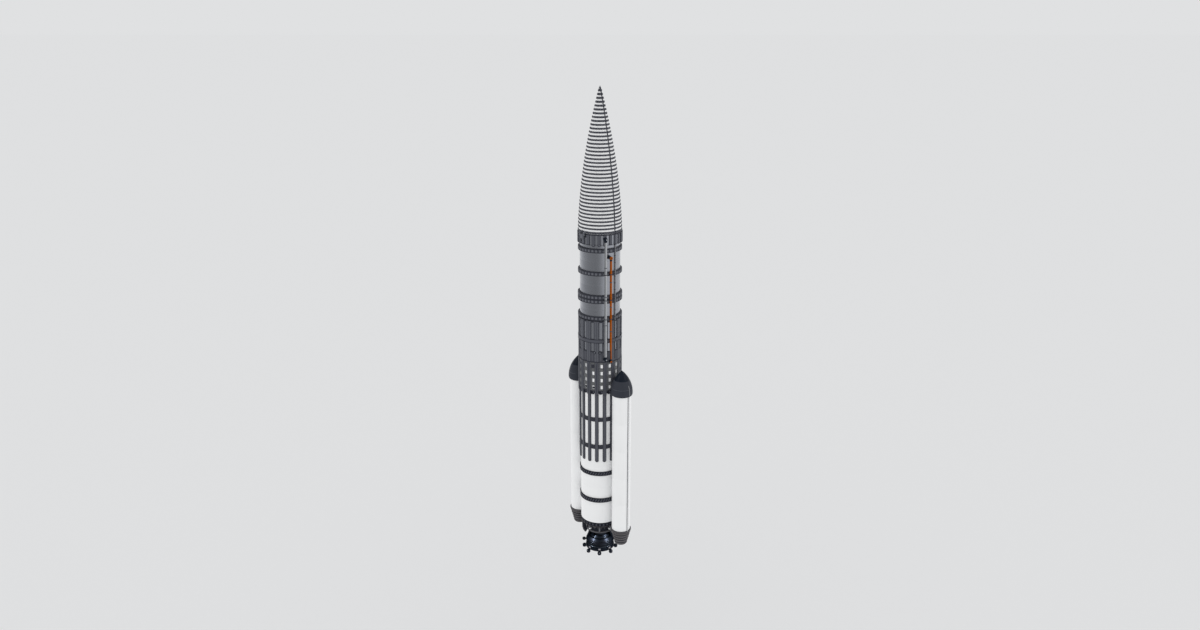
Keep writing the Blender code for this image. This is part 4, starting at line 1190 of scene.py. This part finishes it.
def engine_bell():
    outline = [(AXIS_R, -0.98), (0.55, -0.98), (0.62, -1.02), (0.62, -1.20), (0.69, -1.21),
               (0.78, -1.35), (0.78, -1.40), (0.91, -1.42), (1.02, -1.59), (1.03, -1.60),
               (1.10, -1.64), (1.14, -1.72), (1.14, -1.84), (1.09, -1.90), (1.12, -1.96),
               (1.12, -2.10), (1.09, -2.14), (1.12, -2.20), (1.12, -2.30), (1.04, -2.30),
               (0.86, -1.85), (0.60, -1.50), (0.34, -1.30), (AXIS_R, -1.22)]
    shape = Shape()
    shape.turn(rounded(outline, 0.012), 160)
    for radius, foot in ((0.735, -1.300), (0.967, -1.530)):      # polished strips, for glints
        top = foot + 0.085
        neck = radius - (top - foot) * math.tan(math.radians(33.0))
        shape.turn([(neck - 0.04, top), (neck, top), (radius, foot), (radius - 0.04, foot)], 160,
                   4)
    shape.rod([45.0, -135.0], [(0.72, -0.985, 0.08), (0.78, -1.02, 0.105), (0.81, -1.10, 0.115),
                               (0.85, -1.30, 0.125), (0.93, -1.50, 0.125),
                               (1.02, -1.66, 0.11)], 32)
    shape.rod([45.0, -135.0], [(0.81, -1.10, 0.128), (0.82, -1.15, 0.128)], 32, 1)
    for radius, z, thick in ((0.772, -1.365, 0.016), (1.018, -1.590, 0.016),
                             (1.118, -1.800, 0.028), (1.110, -2.03, 0.022)):
        shape.turn([(radius + thick * c, z + thick * s) for c, s in arc(14)], 160, 1)
    shape.block(around(48), 1.10, 1.128, 0.022, -2.09, -1.97)
    shape.rod(around(36), [(0.64, -1.19, 0.014), (0.76, -1.235, 0.014)], 10)
    eye = [(0.105 * c, GIMBAL_Z + 0.088 * s) for c, s in arc(16, 0.0, math.pi)]
    shape.plate([90.0, -90.0], [(0.11, -1.30), *eye, (-0.11, -1.30)], 0.717, 0.785)
    shape.bolt([90.0, -90.0], 0.785, GIMBAL_Z, 0.075, 0.010, 1, 0.0, 24)
    shape.block(around(8), 1.10, 1.138, 0.25, -2.29, -2.13, 3)
    shape.block(around(8), 1.10, 1.152, 0.18, -2.27, -2.15, 2)
    build(shape, "engine_bell_skin", "engine engine_rings brown_light ink engine_polish",
          "engine_bell", "engine")


def exhaust_outlet(side, azimuth):
    z = sum(heights(f"exhaust_outlet_{side}")) / 2
    shape = Shape()
    shape.knob(azimuth, z, [(1.142, 0.070), (1.20, 0.070), (1.205, 0.105), (1.24, 0.132),
                            (1.30, 0.139), (1.37, 0.130), (1.42, 0.098), (1.445, 0.080),
                            (1.445, 0.055), (1.40, 0.050)], 32)
    shape.bolt(azimuth, 1.392, z, 0.049, 0.012, 1, 0.0, 20)
    build(shape, f"exhaust_outlet_{side}_body", "engine slate_light",
          f"exhaust_outlet_{side}", "engine")


def vernier_ring():
    foot, top, boss_tilt = -2.3803, -2.3003, math.radians(28.0)
    shape = Shape()
    ring = ((1.05, foot), (1.17, foot), (1.18, top), (1.09, top + 0.06), (1.05, top + 0.06))
    shape.turn(rounded(ring, 0.012, closed=True), 128)
    outline = [(AXIS_R, 0.13), (0.095, 0.13), (0.148, 0.075), (0.163, 0.0), (0.160, -0.05),
               (0.15, -0.10), (0.14, -0.13), (0.115, -0.13), (0.105, -0.06), (0.06, 0.015),
               (AXIS_R, 0.02)]
    shape.rod(around(8), [(1.08, -2.34, 0.040), (1.22, -2.355, 0.040), (1.28, -2.38, 0.040)], 20)
    for azimuth in around(8):
        middle = point_at(azimuth, 1.28, -2.45)
        shape.upright(middle, rounded(outline, 0.012, 2))
        facing = point_at(azimuth, math.cos(boss_tilt), math.sin(boss_tilt))
        shape.tube([middle + facing * r for r in (0.10, 0.160, 0.172)], [0.056, 0.050, 0.036],
                   24, 1)
    build(shape, "vernier_nozzles", "navy slate_light", "vernier_ring", "engine")


# Stage


def camera():
    data = bpy.data.cameras.new("camera")
    data.sensor_fit = "HORIZONTAL"
    data.sensor_width = SENSOR_MM
    data.lens = FOCAL_PX * SENSOR_MM / PHOTO_WIDTH_PX
    data.clip_end = 2000.0
    rise = math.radians(CAMERA_ELEVATION_DEG)
    back = point_at(FRONT_AZIMUTH, math.cos(rise), math.sin(rise))
    place(data, back, CAMERA_AIM + back * CAMERA_DISTANCE)
    bpy.context.scene.camera = bpy.data.objects["camera"]


def place(data, back, location=(0.0, 0.0, 0.0)):
    """A camera or lamp that looks along -back."""
    holder = bpy.data.objects.new(data.name, data)
    holder.location = location
    holder.rotation_euler = back.to_track_quat("Z", "Y").to_euler()
    bpy.context.scene.collection.objects.link(holder)
    return holder


SKY_FOR_GLOSS = (
    # turn to the right of the camera's side, brightness
    (-180.0, 1.12), (-150.0, 1.10), (-126.0, 0.98), (-100.0, 0.70), (-75.0, 0.55),
    (-48.0, 0.48), (-22.0, 0.45), (-6.0, 0.50), (8.0, 0.66), (22.0, 0.92), (38.0, 1.10),
    (90.0, 1.06), (180.0, 1.05),
)
SKY_FOR_PAINT = 0.86


def sky():
    """Even light on paint. Gloss also shows a darker side in front, so metal has light edges."""
    world = bpy.data.worlds.new("studio")
    bpy.context.scene.world = world
    world.cycles.sampling_method = "NONE"
    world.use_nodes = True
    world.node_tree.nodes.clear()
    made = Nodes(world.node_tree)
    direction = made.node("ShaderNodeTexCoord").outputs["Generated"]
    rays = made.node("ShaderNodeLightPath").outputs

    def along(axis):
        product = made.node("ShaderNodeVectorMath", operation="DOT_PRODUCT")
        made.fill(product, direction, axis)
        return product.outputs["Value"]

    def background(colour, strength):
        light = made.node("ShaderNodeBackground")
        made.fill(light, (*colour, 1.0), strength)
        return light.outputs[0]

    def choose(test, otherwise, then):
        switch = made.node("ShaderNodeMixShader")
        made.fill(switch, rays[test], otherwise, then)
        return switch.outputs[0]

    turn = made.math("ARCTAN2", along(point_at(FRONT_AZIMUTH + 90.0, 1.0, 0.0)),
                     along(point_at(FRONT_AZIMUTH, 1.0, 0.0)))
    ramp = made.node("ShaderNodeValToRGB")
    stops = ramp.color_ramp.elements
    while len(stops) < len(SKY_FOR_GLOSS):
        stops.new(0.5)
    for stop, (degrees, value) in zip(stops, SKY_FOR_GLOSS):
        stop.position = (degrees + 180.0) / 360.0
        stop.color = (value, value, value, 1.0)
    made.fill(ramp, made.math("ADD", made.math("MULTIPLY", turn, 1.0 / math.tau), 0.5))
    up = made.math("ABSOLUTE", made.math("ADD", along((0.0, 0.0, 1.0)), 0.15))
    blend = made.node("ShaderNodeMix")           # towards even light overhead and below
    blend.inputs[3].default_value = 1.0
    made.put(ramp.outputs["Color"], blend.inputs[2])
    made.put(made.spread(up, 0.60, 0.98, curve="SMOOTHSTEP"), blend.inputs[0])
    light = choose("Is Diffuse Ray", background((0.985, 0.99, 1.0), blend.outputs[0]),
                   background((0.99, 0.995, 1.0), SKY_FOR_PAINT))
    shown = choose("Is Camera Ray", light, background((0.745, 0.752, 0.760), 1.0))
    made.fill(made.node("ShaderNodeOutputWorld"), shown)


LAMPS = (
    # name, turn from the camera's side, strength, start of the names of the pieces it lights
    ("lamp_left", -70.0, 0.25, ""), ("lamp_right", 70.0, 0.25, ""),
    ("glint_lamp_left", -70.0, 7.0, "engine_bell"), ("glint_lamp_right", 70.0, 7.0, "engine_bell"),
)


def lamps():
    """Soft lamps high on either side of the camera, with stronger ones for the bell's glints.

    They light the rocket only, so the floor stays plain.
    """
    pieces = [piece for piece in bpy.data.objects if piece.type == "MESH"]
    for name, turn, strength, lit in LAMPS:
        data = bpy.data.lights.new(name, "SUN")
        data.energy = strength
        data.angle = math.radians(9.0)
        linking = place(data, point_at(FRONT_AZIMUTH + turn, 1.0, 0.80)).light_linking
        linking.receiver_collection = bpy.data.collections.new("lit_by_" + name)
        for piece in pieces:
            if piece.name.startswith(lit):
                linking.receiver_collection.objects.link(piece)
        if lit:
            linking.blocker_collection = linking.receiver_collection


def floor():
    mesh = bpy.data.meshes.new("floor")
    mesh.from_pydata([(x * FLOOR_REACH, y * FLOOR_REACH, FLOOR_Z)
                      for x, y in ((-1, -1), (1, -1), (1, 1), (-1, 1))], [], [(0, 1, 2, 3)])
    made = Surface("floor_plaster", 0.9)
    made.paint((0.866, 0.869, 0.874))
    made.cloud(0.05, 3.0, 0.4, (0.862, 0.865, 0.870))
    made.sockets["Specular IOR Level"].default_value = 0.0
    mesh.materials.append(made.done())
    ground = bpy.data.objects.new("floor", mesh)
    bpy.context.scene.collection.objects.link(ground)
    ground.visible_glossy = False
    ground.visible_diffuse = False


def main():
    for make in (camera, sky, carry_over, core_tank, strip_cage, lattice, stringers, upper_tank,
                 cable_raceway, fairing_collar, hinge_pins, adapter_bolts, umbilical_sockets,
                 aft_band, thrust_frame, gimbal_ring, engine_bell, vernier_ring):
        make()
    for node in ("core_ring_lower", "core_ring_upper"):
        core_hoop(node)
    for node in ("tank_ring_top", "tank_ring_upper", "tank_ring_double", "tank_ring_lower"):
        tank_ring(node, 2 if node == "tank_ring_double" else 1)
    for row in PIPES:
        pipe(*row)
    for side, sign in (("left", 1.0), ("right", -1.0)):
        fairing_half(side, sign)
        booster(side, -sign)
    for side, azimuth in (("right", 45.0), ("left", -135.0)):
        exhaust_duct(side, azimuth)
        exhaust_outlet(side, azimuth)
    lamps()
    floor()
    bpy.context.scene.view_settings.view_transform = "Standard"


main()
